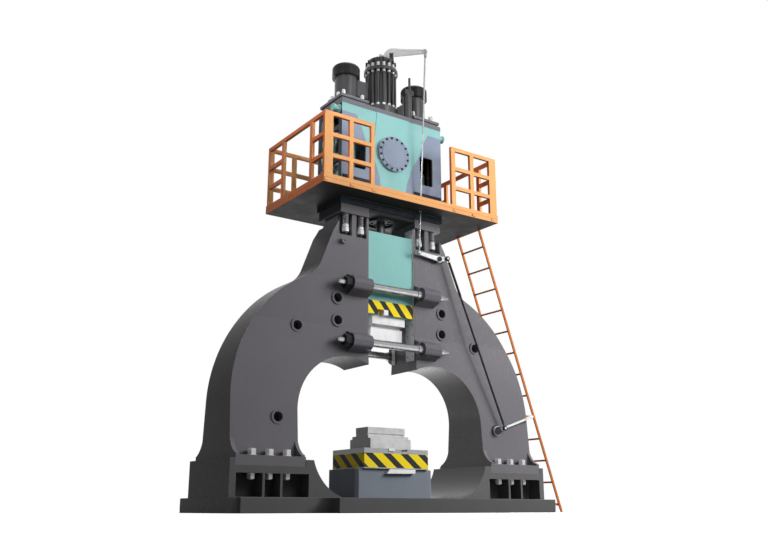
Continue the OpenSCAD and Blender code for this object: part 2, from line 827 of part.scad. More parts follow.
module ring_at(i, r, play) {
    z = piston_z + i * piston_h / 4 - ring_h / 2;
    difference() {
        z_bar(0, 0, r, z + play, z + ring_h - play);
        z_bar(0, 0, bore_r - 12, z - 1, z + ring_h + 1);
    }
}

module piston_rings() color([0.3, 0.3, 0.32]) for (i = [1:3]) ring_at(i, bore_r - 0.06, 0);

module cylinder_tube() {
    difference() {
        z_bar(0, 0, cyl_r, head_z, head_top - 5);
        z_bar(0, 0, bore_r, head_z - 1, head_top);
    }
}

module cylinder_node() color([0.55, 0.56, 0.58]) cylinder_tube();

module gland() color([0.45, 0.46, 0.47]) difference() {
    union() {
        block([-slot_half + 1, -cap_half_w + 6, head_z - gland_plate_t], [slot_half - 1, cap_half_w - 6, head_z]);
        difference() {
            z_bar(0, 0, gland_r, head_z - gland_t, head_z - gland_plate_t);
            z_bar(0, 0, gland_r - 44, head_z - gland_t - 1, head_z - gland_plate_t);
        }
    }
    z_bar(0, 0, rod_r + pivot_gap, head_z - gland_t - 1, head_z + 1);
    for (a = [0:45:315]) rotate([0, 0, a]) z_bar(gland_bolt_r, 0, 14, head_z - gland_t - 1, head_z + 1);
}

// Bolt with a six-sided head along Y
module y_bolt(x, z, af, face, head, deep, r) {
    y_bar(x, z, af / sqrt(3), -face - head, -face, 6);
    y_bar(x, z, r, -face, -face + deep);
}

cover_z = head_z + 1006;
cover_face = head_half_w + proud + cover_t;
cover_bolt_r = cover_r - 30;

module head_bolts() color([0.84, 0.84, 0.84]) {
    for (i = [0:cover_bolts - 1]) {
        a = 360 * (i + 0.5) / cover_bolts;
        y_bolt(cover_bolt_r * cos(a), cover_z + cover_bolt_r * sin(a), 30, cover_face, 14, cover_t, 9);
    }
    for (a = [0:45:315]) rotate([0, 0, a]) {
        z_bar(gland_bolt_r, 0, 14, head_z - gland_plate_t, head_z);
        z_bar(gland_bolt_r, 0, 24, head_z - gland_plate_t - 16, head_z - gland_plate_t, 6);
    }
    both_x() translate([motor_x, 0, 0]) at_motor_studs() {
        z_bar(0, 0, motor_stud_r, motor_z - 30, motor_z + motor_flange_t);
        z_bar(0, 0, motor_nut_r, motor_z + motor_flange_t, motor_z + motor_flange_t + motor_nut_h, 6);
    }
}

module at_motor_studs() {
    for (p = motor_studs) both_x() both_y() translate(p) children();
}

// Half of the boundary between the middle and the side panels, from the top down
panel_edge = [
    [motor_x + 15, head_z + 1530], [motor_x - 60, head_z + 1380], [motor_x - 170, head_z + 1100],
    [motor_x - 340, head_z + 800], [motor_x - 425, head_z + 560], [motor_x - 450, head_z + 380]
];

module panel_outline() {
    polygon(concat([[head_half_l, head_z + 1530]], panel_edge, [[head_half_l, head_z + 380]]));
}

// Window of the head with round corners
module window_outline() {
    r = window_corner_r;
    translate([window_x0 + r, head_win_low]) square([window_x1 - window_x0 - 2 * r, head_win_high - head_win_low]);
    translate([window_x0, head_win_low + r]) square([window_x1 - window_x0, head_win_high - head_win_low - 2 * r]);
    for (x = [window_x0 + r, window_x1 - r]) for (z = [head_win_low + r, head_win_high - r])
        translate([x, z]) circle(r = r);
}

module middle_outline() {
    x_top = 324;
    polygon(concat(
        [[-x_top, head_top], [x_top, head_top], [398, head_z + 920]],
        [for (i = [3:5]) panel_edge[i]],
        [for (i = [5:-1:3]) [-panel_edge[i][0], panel_edge[i][1]]],
        [[-398, head_z + 920]]
    ));
}

module head_body() color([0.61, 0.83, 0.81]) difference() {
    union() {
        block([-head_half_l, -head_half_w, head_z], [head_half_l, head_half_w, head_top]);
        both_y() along_y(-head_half_w - proud, -head_half_w + 2) middle_outline();
    }
    z_bar(0, 0, cyl_r, head_z - 1, head_top + 1);
    both_x() {
        block([cyl_r + 70, -head_half_w + head_wall, head_z + head_floor],
            [head_half_l - head_wall, head_half_w - head_wall, head_top - head_wall]);
        along_y(-head_half_w - 1, -head_half_w + head_wall + 1) window_outline();
        for (s = [[head_z + 130, head_z + 700], [head_z + 780, head_z + 1240], [head_z + 1320, head_z + 1600]])
            block([head_half_l - head_wall - 1, -head_half_w + 90, s[0]],
                [head_half_l + 1, head_half_w - 90, s[1]]);
        z_bar(motor_x, 0, shaft_r + 16, head_top - head_wall - 1, head_top + 1);
        for (x = stud_x) both_y() z_bar(x, -stud_y, stud_r, head_z - 1, head_z + 80);
    }
    for (i = [0:cover_bolts - 1]) {
        a = 360 * (i + 0.5) / cover_bolts;
        y_bar(cover_bolt_r * cos(a), cover_z + cover_bolt_r * sin(a), 9, -cover_face, -cover_face + cover_t * 2);
    }
}

// Panels with windows at the front and plain panels at the rear
module head_panels() color([0.60, 0.64, 0.70]) both_x() {
    along_y(-head_half_w - proud, -head_half_w) difference() {
        panel_outline();
        window_outline();
    }
    along_y(head_half_w, head_half_w + proud) panel_outline();
}

module head_top_plate() color([0.56, 0.60, 0.66]) difference() {
    union() {
        block([-head_half_l, -head_half_w - proud, head_top], [head_half_l, head_half_w + proud, top_z]);
        both_x() {
            block([pad_in + 25, -pad_half_w + 25, top_z], [head_half_l - 25, pad_half_w - 25, top_z + pad_foot_t]);
            block([pad_in, -pad_half_w, top_z + pad_foot_t], [head_half_l, pad_half_w, motor_z]);
        }
    }
    both_x() {
        z_bar(motor_x, 0, shaft_r + 16, head_top - 1, motor_z + 1);
        translate([motor_x, 0, 0]) at_motor_studs() z_bar(0, 0, motor_stud_r, motor_z - 30, motor_z + 1);
    }
    at_eyes() z_bar(0, 0, eye_shank_r, motor_z - 40, motor_z + 1);
    z_bar(0, 0, 60, head_top - 1, top_z + 1);
}

module head_cover() color([0.60, 0.64, 0.70]) difference() {
    union() {
        y_bar(0, cover_z, cover_r, -cover_face, -head_half_w - proud);
        y_bar(0, cover_z, cover_r - 62, -cover_face - 6, -cover_face);
    }
    for (i = [0:cover_bolts - 1]) {
        a = 360 * (i + 0.5) / cover_bolts;
        y_bar(cover_bolt_r * cos(a), cover_z + cover_bolt_r * sin(a), 9, -cover_face - 1, -cover_face + cover_t + 1);
    }
}

module head_ledges() color([0.25, 0.25, 0.27]) both_x() both_y()
    block([410, -head_half_w - 26, head_z + 365], [head_half_l - 25, -head_half_w - proud, head_z + 455]);

module buffer_studs() color([0.75, 0.75, 0.76]) both_x() both_y() for (x = stud_x)
    z_bar(x, -stud_y, stud_r, spring_low - collar_h - buffer_nut_h - 26, head_z + 80);

// Points of a ring of six round a point of the spring
function spring_ring(p, radial, up) = [
    for (k = [0:5]) p + wire_r * (cos(60 * k + 30) * radial + sin(60 * k + 30) * up)
];

spring_steps = 8 * spring_curls;
spring_rise = spring_l - 2 * wire_r - 2 * eps;
function spring_point(i) = let (a = 360 * i / 8)
    [spring_r * cos(a), spring_r * sin(a), wire_r + eps + spring_rise * i / spring_steps];
function spring_radial(i) = let (a = 360 * i / 8) [cos(a), sin(a), 0];
function spring_tangent(i) = let (a = 360 * i / 8) [-sin(a), cos(a), 0];

spring_rings = concat(
    [spring_ring(spring_point(0) - 2 * wire_r * spring_tangent(0), spring_radial(0), [0, 0, 1])],
    [for (i = [0:spring_steps]) spring_ring(spring_point(i), spring_radial(i), [0, 0, 1])],
    [spring_ring(spring_point(spring_steps) + 2 * wire_r * spring_tangent(spring_steps),
        spring_radial(spring_steps), [0, 0, 1])]
);
spring_gap = min([for (i = [0:spring_steps - 8], p = spring_ring(spring_point(i), spring_radial(i), [0, 0, 1]),
    q = spring_ring(spring_point(i + 8), spring_radial(i + 8), [0, 0, 1])) norm(p - q)]);
echo(spring_gap = spring_gap);

module spring() {
    n = len(spring_rings);
    points = [for (r = spring_rings) each r];
    sides = [for (i = [0:n - 2], k = [0:5]) let (a = 6 * i + k, b = 6 * i + (k + 1) % 6)
        each [[a, b, b + 6], [a, b + 6, a + 6]]];
    first = [for (k = [1:4]) [0, k + 1, k]];
    last = [for (k = [1:4]) [6 * (n - 1), 6 * (n - 1) + k, 6 * (n - 1) + k + 1]];
    polyhedron(points = points, faces = concat(sides, first, last));
}

module buffer_springs() color([0.9, 0.9, 0.88]) both_x() both_y() for (x = stud_x)
    translate([x, -stud_y, spring_low]) spring();

// Collar under each spring and the locking nut below it
module buffer_nuts() color([0.9, 0.9, 0.9]) both_x() both_y() for (x = stud_x) difference() {
    union() {
        z_bar(x, -stud_y, 50, spring_low - collar_h, spring_low);
        z_bar(x, -stud_y, buffer_nut_r - 6, spring_low - collar_h - 6, spring_low - collar_h);
        z_bar(x, -stud_y, buffer_nut_r, spring_low - collar_h - buffer_nut_h, spring_low - collar_h - 6, 6);
    }
    z_bar(x, -stud_y, stud_r, spring_low - 2 * buffer_nut_h - 60, spring_low + 1);
}

motor_bore = motor_r - 45;

box_half_w = 110;
box_out = 165;
box_lid_t = 14;

// Terminal box on the side of a motor
module terminal_box() {
    block([motor_r - 30, -box_half_w, motor_z + 160], [motor_r + box_out - box_lid_t, box_half_w, motor_top - 16]);
    block([motor_r + box_out - box_lid_t, -box_half_w - 6, motor_z + 154],
        [motor_r + box_out, box_half_w + 6, motor_top - 10]);
}

module motor(box_turn) {
    difference() {
        union() {
            rotate([0, 0, box_turn]) terminal_box();
            block([-motor_foot[0], -motor_foot[1], motor_z], [motor_foot[0], motor_foot[1], motor_z + motor_flange_t]);
            z_bar(0, 0, motor_r, motor_z + motor_flange_t, motor_top);
            z_bar(0, 0, cowl_r - 8, motor_top, motor_top + 16);
        }
        z_bar(0, 0, motor_bore, motor_z + 40, motor_top - 30);
        z_bar(0, 0, shaft_r + pivot_gap, motor_z - 1, motor_top + 17);
        at_motor_studs() z_bar(0, 0, motor_stud_r, motor_z - 1, motor_z + motor_flange_t + 1);
    }
}

module motor_left() color([0.2, 0.2, 0.21]) translate([-motor_x, 0, 0]) motor(0);
module motor_right() color([0.2, 0.2, 0.21]) translate([motor_x, 0, 0]) motor(90);

// Cowl: open ring below, rounded edge, slots in the top
module cowl() {
    wall = 8;
    edge = 60;
    difference() {
        translate([0, 0, motor_top]) rotate_extrude() difference() {
            union() {
                square([cowl_r, cowl_h - edge]);
                square([cowl_r - edge, cowl_h]);
                intersection() {
                    translate([cowl_r - edge, cowl_h - edge]) circle(r = edge);
                    square([cowl_r, cowl_h]);
                }
            }
            translate([0, -1]) square([cowl_r - wall, cowl_h - edge + 1]);
            square([cowl_r - edge, cowl_h - wall]);
            intersection() {
                translate([cowl_r - edge, cowl_h - edge]) circle(r = edge - wall);
                square([cowl_r, cowl_h]);
            }
        }
        for (i = [0:11]) rotate([0, 0, 30 * i])
            block([60, -9, motor_top + cowl_h - 2 * wall], [cowl_r - edge - 20, 9, motor_top + cowl_h + 1]);
    }
}

module motor_cowls() color([0.22, 0.22, 0.23]) both_x() translate([motor_x, 0, 0]) cowl();

// Motor shaft with its core, fan and the coupling to the pump
module rotor() {
    fan_z = motor_top + 46;
    z_bar(0, 0, shaft_r, pump_top - 60, fan_z + 90);
    z_bar(0, 0, motor_bore - 8, motor_z + 60, motor_top - 50);
    z_bar(0, 0, 70, pump_top + 20, pump_top + 20 + coupling_h);
    z_bar(0, 0, 62, fan_z, fan_z + 70);
    for (i = [0:7]) rotate([0, 0, 45 * i]) block([40, -4, fan_z], [cowl_r - 70, 4, fan_z + 70]);
}

module rotor_left() color([0.72, 0.45, 0.25]) translate([-motor_x, 0, 0]) rotor();
module rotor_right() color([0.72, 0.45, 0.25]) translate([motor_x, 0, 0]) rotor();

module pump() {
    difference() {
        union() {
            z_bar(0, 0, pump_r + 30, head_z + head_floor, head_z + head_floor + 36);
            z_bar(0, 0, pump_r, head_z + head_floor + 36, pump_top - 60);
            z_bar(0, 0, pump_r + 20, pump_top - 320, pump_top - 280);
            z_bar(0, 0, pump_r - 30, pump_top - 60, pump_top);
        }
        z_bar(0, 0, shaft_r + pivot_gap, pump_top - 62, pump_top + 1);
    }
}

module pump_left() color([0.61, 0.83, 0.81]) translate([-motor_x, 0, 0]) pump();
module pump_right() color([0.61, 0.83, 0.81]) translate([motor_x, 0, 0]) pump();

pipe_x = head_half_l - head_wall - 75;
pipe_y = 150;

// Oil pipes beside the pumps
module oil_pipes() color([0.8, 0.8, 0.8]) both_x() both_y() {
    z_bar(pipe_x, -pipe_y, 24, head_z + head_floor, head_top - head_wall);
    z_bar(pipe_x, -pipe_y, 38, head_win_low + 215, head_win_low + 255);
}

// Places of the tower bolts
module at_tower_bolts() {
    for (i = [0:tower_bolts - 1]) rotate([0, 0, 360 * i / tower_bolts]) translate([tower_bolt_r, 0, 0]) children();
}

module valve_tower() color([0.2, 0.2, 0.21]) difference() {
    union() {
        z_bar(0, 0, tower_base_r, top_z, top_z + tower_base_t);
        z_bar(0, 0, tower_r, top_z + tower_base_t, tower_top);
        z_bar(0, 0, tower_flange_r, tower_top, tower_top + tower_flange_t);
        pilot_valve();
    }
    z_bar(0, 0, spool_r + pivot_gap, spool_low - 40, tower_top + tower_flange_t + 1);
    at_tower_bolts() {
        z_bar(0, 0, tower_bar_r + eps, top_z + 40, top_z + tower_base_t + 1);
        z_bar(0, 0, tower_bar_r + eps, tower_top - 1, tower_top + tower_flange_t + 1);
    }
}

// Relief valve beside the tower: foot, body, square lid and adjusting spindle
pilot = [motor_x - 338, -270];
pilot_body_h = 440;
pilot_lid_h = 92;
module pilot_valve() translate([pilot[0], pilot[1], top_z]) {
    z_bar(0, 0, 84, 0, 30);
    z_bar(0, 0, 74, 30, pilot_body_h);
    block([-88, -62, pilot_body_h], [88, 62, pilot_body_h + pilot_lid_h]);
    z_bar(45, 0, 20, pilot_body_h + pilot_lid_h, pilot_body_h + 350);
    z_bar(45, 0, 34, pilot_body_h + pilot_lid_h + 20, pilot_body_h + pilot_lid_h + 50, 6);
}

module tower_bolts() color([0.45, 0.45, 0.46]) at_tower_bolts() {
    z_bar(0, 0, tower_bar_r, top_z + 42, tower_top + tower_flange_t + 165);
    z_bar(0, 0, tower_nut_r, top_z + tower_base_t, top_z + tower_base_t + 40, 6);
    z_bar(0, 0, tower_nut_r, tower_top - 40, tower_top, 6);
    z_bar(0, 0, tower_nut_r, tower_top + tower_flange_t, tower_top + tower_flange_t + 78, 6);
}

// Mount of the valve lever, turned into its upright plane
module in_lever_plane() {
    rotate([0, 0, lever_dir]) children();
}

cap_body_r = tower_bolt_r - tower_nut_r - 4;
cheek_t = 14;

module valve_cap() color([0.2, 0.2, 0.21]) difference() {
    union() {
        z_bar(0, 0, cap_body_r, tower_top + tower_flange_t, valve_top);
        in_lever_plane() both_y()
            block([valve_short - 34, lever_half_t + eps, valve_top - 8],
                [valve_short + 34, lever_half_t + eps + cheek_t, lever_z + 36]);
        in_lever_plane() y_bar(valve_short, lever_z, lever_pin_r, -lever_half_t - 30, lever_half_t + 30);
    }
    z_bar(0, 0, spool_r + pivot_gap, tower_top, valve_top - 20);
    z_bar(0, 0, 24, valve_top - 21, valve_top + 1);
}

spool_slot = 11;

module valve_spool() color([0.82, 0.82, 0.83]) {
    z_bar(0, 0, spool_r, spool_low, spool_high);
    z_bar(0, 0, 22, spool_high, lever_z - spool_slot - 12);
    z_bar(0, 0, 30, lever_z - spool_slot - 12, lever_z - spool_slot);
    z_bar(0, 0, 9, lever_z - spool_slot, lever_z + spool_slot);
    z_bar(0, 0, 30, lever_z + spool_slot, lever_z + spool_slot + 14);
}

module valve_lever() color([0.86, 0.86, 0.86]) in_lever_plane() difference() {
    union() {
        along_y(-lever_half_t, lever_half_t) polygon([
            [60, lever_z - 22], [valve_short - 40, lever_z - 28], [valve_short, lever_z - 40],
            [valve_short + 50, lever_z - 30], [valve_short + valve_long, lever_z - 22],
            [valve_short + valve_long, lever_z + 54], [valve_short + 235, lever_z + 92],
            [valve_short - 10, lever_z + 134], [valve_short - 65, lever_z + 108], [60, lever_z + 66]
        ]);
        block([-14, -30, lever_z - 8], [62, 30, lever_z + 8]);
        y_bar(valve_short + valve_long, lever_z, 42, -lever_half_t, lever_half_t);
    }
    block([-15, -12, lever_z - 20], [40, 12, lever_z + 20]);
    y_bar(valve_short, lever_z, lever_pin_r + pivot_gap, -40, 40);
    y_bar(valve_short + valve_long, lever_z, 14, -40, 40);
}

control_low = [rocker_left[0], pin_y, rocker_left[1]];
control_high = [valve_end[0], valve_end[1], lever_z];
control_e = (control_high - control_low) / norm(control_high - control_low);

// Upright rod with an eye on the rocker and a fork round the end of the valve lever
module control_rod() color([0.6, 0.6, 0.6]) {
    difference() {
        union() {
            y_bar(control_low[0], control_low[2], 34, pin_y - 15, pin_y + 15);
            bar_between(control_low + 22 * control_e, control_low + 80 * control_e, control_r * 0.65);
            bar_between(control_low + 60 * control_e, control_high - 80 * control_e, control_r);
        }
        y_bar(control_low[0], control_low[2], link_pin_r + pivot_gap, pin_y - 40, pin_y + 40);
    }
    translate(control_high) in_lever_plane() {
        block([-20, -lever_half_t - loose - 12, -90], [20, lever_half_t + loose + 12, -62]);
        both_y() block([-20, lever_half_t + loose, -64], [20, lever_half_t + loose + 12, 50]);
        y_bar(0, 0, 8, -lever_half_t - loose - 14, lever_half_t + loose + 14);
    }
}

// Flat two-armed lever on the right neck with a pin at each end
module rocker_lever() color([0.85, 0.85, 0.85]) difference() {
    union() {
        along_y(rocker_y - rocker_half_t, rocker_y + rocker_half_t) {
            translate([rocker_x, rocker_z]) circle(r = 58);
            translate(rocker_left) circle(r = 36);
            translate(rocker_right) circle(r = 40);
            polygon([rocker_left + [0, 26], rocker_left - [0, 26], [rocker_x, rocker_z - 44], [rocker_x, rocker_z + 44]]);
            polygon([rocker_right + [0, 32], rocker_right - [0, 32], [rocker_x, rocker_z - 44], [rocker_x, rocker_z + 44]]);
        }
        y_bar(rocker_left[0], rocker_left[1], link_pin_r, pin_y - 18, rocker_y);
        y_bar(rocker_right[0], rocker_right[1], link_pin_r + 2, pin_y - 18, rocker_y);
    }
    y_bar(rocker_x, rocker_z, rocker_pin_r + pivot_gap, -frame_half_t - 400, -frame_half_t);
}

pull_low = [crank[0], pull_low_y, crank[1]];
pull_high = [rocker_right[0], pin_y, rocker_right[1]];
pull_e = (pull_high - pull_low) / norm(pull_high - pull_low);

// Long rod between the hand lever and the rocker, thicker near its top
module pull_rod() color([0.12, 0.12, 0.13]) difference() {
    union() {
        y_bar(pull_low[0], pull_low[2], 40, pull_low_y - 13, pull_low_y + 13);
        y_bar(pull_high[0], pull_high[2], 40, pin_y - 11, pin_y + 11);
        bar_between(pull_low + 26 * pull_e, pull_high - 26 * pull_e, pull_r * 0.52);
        bar_between(pull_low + 60 * pull_e, pull_high - 640 * pull_e, pull_r * 0.8);
        bar_between(pull_high - 660 * pull_e, pull_high - 70 * pull_e, pull_r);
    }
    y_bar(pull_low[0], pull_low[2], crank_pin_r + pivot_gap, pull_low_y - 40, pull_low_y + 40);
    y_bar(pull_high[0], pull_high[2], link_pin_r + 5, pin_y - 40, pin_y + 40);
}

hand_e = [cos(handle_deg), 0, sin(handle_deg)];
hub = [hub_x, hand_y, hub_z];

module hand_lever() color([0.86, 0.86, 0.86]) difference() {
    union() {
        y_bar(hub_x, hub_z, 76, hand_y - 20, hand_y + 20);
        bar_between(hub + 60 * hand_e, hub + (handle_l - 170) * hand_e, 19);
        bar_between(hub + (handle_l - 180) * hand_e, hub + handle_l * hand_e, 26);
        y_bar(crank[0], crank[1], 38, hand_y - 20, hand_y + 20);
        y_bar(crank[0], crank[1], crank_pin_r, pull_low_y - 24, hand_y);
    }
    y_bar(hub_x, hub_z, hub_pin_r + pivot_gap, hand_y - 60, hand_y + 60);
}

// Fixed pins: the hub pin on the right leg and the rocker pin on the right neck
module lever_pins() color([0.45, 0.45, 0.47]) {
    difference() {
        y_bar(hub_x, hub_z, 92, hand_y + 20 + eps, -frame_half_t - 40);
        frame_thickness(leg_in, leg_out);
    }
    y_bar(hub_x, hub_z, hub_pin_r, hand_y - 34, -frame_half_t + 40);
    y_bar(hub_x, hub_z, 66, hand_y - 34, hand_y - 20 - eps);
    y_bar(rocker_x, rocker_z, rocker_pin_r, rocker_y - 30, -frame_half_t + 90);
    y_bar(rocker_x, rocker_z, 48, rocker_y + rocker_half_t + eps, -frame_half_t);
    y_bar(rocker_x, rocker_z, 42, rocker_y - 30, rocker_y - rocker_half_t - eps);
}

// Place where the control rod crosses a height
function control_at(z) = control_low + control_e * ((z - control_low[2]) / control_e[2]);

beam_w = 76;
beam_inset = 62;
edge_t = 9;
clamp_w = 64;

// Floor plate inside the edge, with the beams that tie it to the head
module platform_deck() color([0.15, 0.14, 0.14]) difference() {
    z1 = deck_low + 2;
    z2 = z1 + deck_plate_t;
    union() {
        block([deck_left + edge_t, deck_front + edge_t, z1], [deck_right - edge_t, deck_rear - edge_t, z2]);
        both_x() block([head_half_l, deck_front + beam_inset, z1], [head_half_l + beam_w, deck_rear - beam_inset, z2 + 50]);
        for (y = [-head_half_w - proud - beam_w, head_half_w + proud])
            block([deck_left + beam_inset, y, z1], [deck_right - beam_inset, y + beam_w, z2 + 50]);
    }
    block([-head_half_l, -head_half_w - proud, deck_low - 2], [head_half_l, head_half_w + proud, deck_top + 1]);
    z_bar(control_at(z2)[0], control_at(z2)[1], 36, deck_low - 1, deck_top);
}

// Upright edge of the platform with a fold along its middle and a clamp under each post
module platform_edge() color([0.78, 0.42, 0.24]) {
    fold_z = deck_low + 66;
    difference() {
        block([deck_left, deck_front, deck_low], [deck_right, deck_rear, deck_top]);
        block([deck_left + edge_t, deck_front + edge_t, deck_low - 1], [deck_right - edge_t, deck_rear - edge_t, deck_top + 1]);
        difference() {
            block([deck_left - 1, deck_front - 1, fold_z], [deck_right + 1, deck_rear + 1, fold_z + 4]);
            block([deck_left + 4, deck_front + 4, fold_z - 1], [deck_right - 4, deck_rear - 4, fold_z + 5]);
        }
    }
    for (p = front_posts) block([p[0] + 12, deck_front - 12, deck_low + 18], [p[0] + 12 + clamp_w, deck_front, deck_low + 58]);
    for (p = rear_posts) block([p[0] + 12, deck_rear, deck_low + 18], [p[0] + 12 + clamp_w, deck_rear + 12, deck_low + 58]);
}

// Upright tube of the railing at the front or rear
module rail_post(x, w, y, inward) {
    z0 = deck_low + 20;
    block([x, min(y, y + inward * tube_d), z0], [x + w, max(y, y + inward * tube_d), rail_top]);
}

// Level tube of the railing along X
module rail_x(x0, x1, y, inward, z) {
    block([x0, min(y, y + inward * tube_d), z], [x1, max(y, y + inward * tube_d), z + tube_h]);
}

// Level tube of the railing along Y
module rail_y(x, y0, y1, inward, z) {
    block([min(x, x + inward * tube_d), y0, z], [max(x, x + inward * tube_d), y1, z + tube_h]);
}

tube_d = 50;
tube_h = rail_w - 10;
panel_gap = 0.5;
rail_f = deck_front + 9;
rail_b = deck_rear - 9;
rail_l = deck_left + 9;
rail_r = deck_right - 9;

module railings() color([0.85, 0.5, 0.3]) {
    for (p = front_posts) rail_post(max(p[0], rail_l), p[1] - 9, rail_f, 1);
    for (p = rear_posts) rail_post(max(p[0], rail_l), p[1] - 9, rail_b, -1);
    for (y = side_posts) for (s = [[rail_l, 1], [rail_r, -1]]) {
        block([min(s[0], s[0] + s[1] * tube_d), y, deck_low + 20],
            [max(s[0], s[0] + s[1] * tube_d), y + rail_w, rail_top]);
    }
    side_f = rail_f + tube_d + panel_gap;
    side_b = rail_b - tube_d - panel_gap;
    for (z = rail_levels) {
        rail_x(rail_l, gap_left - 9, rail_f, 1, z);
        rail_x(gap_right, rail_r, rail_f, 1, z);
        rail_x(rail_l, rail_r, rail_b, -1, z);
        for (s = [[rail_l, 1], [rail_r, -1]]) {
            rail_y(s[0], side_f, side_posts[0] + rail_w, s[1], z);
            rail_y(s[0], side_posts[1], side_b, s[1], z);
        }
    }
    rail_y(rail_l, side_f, side_b, 1, rail_levels[0]);
    rail_y(rail_r, side_f, side_b, -1, rail_levels[0]);
}

// Edge of the ladder rail that faces the frame, at a height
ladder_shift = 42;
function ladder_x(z) =
    deck_right + ladder_run * (ladder_top - ladder_drop - z) / (ladder_top - ladder_drop) - ladder_shift;

rail_end = deck_low - eps;
ladder_mid_y = 12;

module ladder_rail_outline() {
    polygon([
        [ladder_x(rail_end), rail_end], [ladder_x(rail_end) + ladder_rail_w, rail_end],
        [ladder_x(0) + ladder_rail_w, 0], [ladder_x(0), 0]
    ]);
}

module ladder() color([0.80, 0.45, 0.26]) {
    for (y = [-ladder_half, ladder_half - ladder_rail_t])
        along_y(ladder_mid_y + y, ladder_mid_y + y + ladder_rail_t) ladder_rail_outline();
    for (z = [rung_low:rung_pitch:deck_low - 150])
        y_bar(ladder_x(z) + ladder_rail_w / 2, z, rung_r, ladder_mid_y - ladder_half + 2, ladder_mid_y + ladder_half - 2);
    ladder_brackets();
}

// Outer edge of the frame at a height on its outer arch
function arch_x(z) = outer_x + sqrt(outer_arch_r * outer_arch_r - pow(z - outer_z, 2));

// Bars that hold the ladder to the outer edge of the frame and to the end of the base plate
module ladder_brackets() {
    z1 = outer_z + 40;
    bar = 26;
    bar_h = 40;
    gap = 0.3;
    y0 = ladder_mid_y - ladder_half + ladder_rail_t + eps;
    y1 = ladder_mid_y + ladder_half - ladder_rail_t - bar - eps;
    for (y = [y0, y1]) {
        along_y(y, y + bar) polygon([
            [arch_x(z1) + gap, z1], [ladder_x(z1) + 30, z1],
            [ladder_x(z1) + 30, z1 + bar_h], [arch_x(z1 + bar_h) + gap, z1 + bar_h]
        ]);
        block([plate_half_l, y, plate_t - 90], [ladder_x(plate_t - 90) + 40, y + bar, plate_t - 50]);
    }
}

port_y = -260;
port_z = head_top - 55;

// Round ports on the sides of the head
module side_ports() color([0.61, 0.83, 0.81]) both_x() {
    x_bar(port_y, port_z - 40, 78, head_half_l, head_half_l + 18);
    x_bar(port_y, port_z - 40, 55, head_half_l + 18, head_half_l + 96);
    x_bar(port_y, port_z - 40, 66, head_half_l + 96, head_half_l + 120);
}

// Places of the lifting eyes, at two opposite corners of the motor pads
eye_place = [head_half_l - 148, -298];
eye_shank_r = 12;

module at_eyes() {
    for (s = [-1, 1]) translate(s * eye_place) children();
}

module lifting_eyes() color([0.75, 0.75, 0.75]) at_eyes() {
    z_bar(0, 0, eye_shank_r, motor_z - 40, motor_z);
    z_bar(0, 0, 24, motor_z, motor_z + 12);
    z_bar(0, 0, 11, motor_z + 12, motor_z + 30);
    translate([0, 0, motor_z + 60]) rotate([90, 0, 0]) rotate_extrude() translate([27, 0]) circle(r = 9);
}

base_plate();
pedestal_left();
pedestal_right();
anvil_base();
sow_block();
lower_die_holder();
lower_die();
anvil_keys();
frame_left();
frame_right();
foot_bolts();
foot_nuts();
guide_liners();
liner_screws();
frame_bushes();
tie_rods();
tie_rod_sleeves();
tie_rod_nuts();
ram();
ram_key();
upper_die_holder();
upper_die();
piston_rod();
piston();
piston_rings();
cylinder_node();  // cylinder
gland();
head_bolts();
head_body();
head_panels();
head_top_plate();
head_cover();
head_ledges();
buffer_studs();
buffer_springs();
buffer_nuts();
motor_left();
motor_right();
motor_cowls();
rotor_left();
rotor_right();
pump_left();
pump_right();
oil_pipes();
valve_tower();
tower_bolts();
valve_cap();
valve_spool();
valve_lever();
control_rod();
rocker_lever();
pull_rod();
hand_lever();
lever_pins();
platform_deck();
platform_edge();
railings();
ladder();
side_ports();
lifting_eyes();
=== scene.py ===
"""Looks of the hydraulic forging hammer: finishes, fittings, floor, lamps and camera."""

import math

import bmesh
import bpy
from mathutils import Matrix, Vector


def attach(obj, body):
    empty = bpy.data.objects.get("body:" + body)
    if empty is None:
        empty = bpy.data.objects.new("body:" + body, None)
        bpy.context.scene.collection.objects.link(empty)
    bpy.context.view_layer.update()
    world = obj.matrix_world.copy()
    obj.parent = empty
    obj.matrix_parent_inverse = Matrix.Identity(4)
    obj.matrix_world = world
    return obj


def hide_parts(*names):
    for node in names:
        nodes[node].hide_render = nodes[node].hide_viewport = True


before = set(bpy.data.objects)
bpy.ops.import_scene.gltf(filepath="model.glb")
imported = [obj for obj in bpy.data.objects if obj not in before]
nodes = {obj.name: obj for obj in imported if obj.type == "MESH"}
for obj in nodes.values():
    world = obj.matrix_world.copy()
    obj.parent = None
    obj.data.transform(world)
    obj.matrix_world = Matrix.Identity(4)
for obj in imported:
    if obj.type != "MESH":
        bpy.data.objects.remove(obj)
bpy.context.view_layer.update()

MM = 0.001

# Sockets that go by number: the ends of a Map Range, and the share, two colours and result of a colour Mix
FROM_LOW, FROM_HIGH, TO_LOW, TO_HIGH = 1, 2, 3, 4
SHARE, FIRST, SECOND, MIXED = 0, 6, 7, 2

# Orange peel is 2 to 3 mm across on a real sprayed coat, drawn wider so that it shows
PEEL_MM, PEEL_DEPTH_MM, PEEL_STRENGTH = 9, 0.25, 0.35

# Sizes of the slower patterns in millimetres: shade from coat to coat, grime, the swells of a sand casting and
# chips at rubbed edges on enamel, then clouds on bare metal, knocks in the stripes and dust on the deck
DRIFT_MM, GRIME_MM, SWELL_MM, CHIP_MM = 900, 160, 220, 45
CLOUD_MM, KNOCK_MM, DUST_MM = 130, 60, 240

# Depth of the tool lines on bare metal
CUT_DEPTH_MM = 0.2


# Colours and nodes


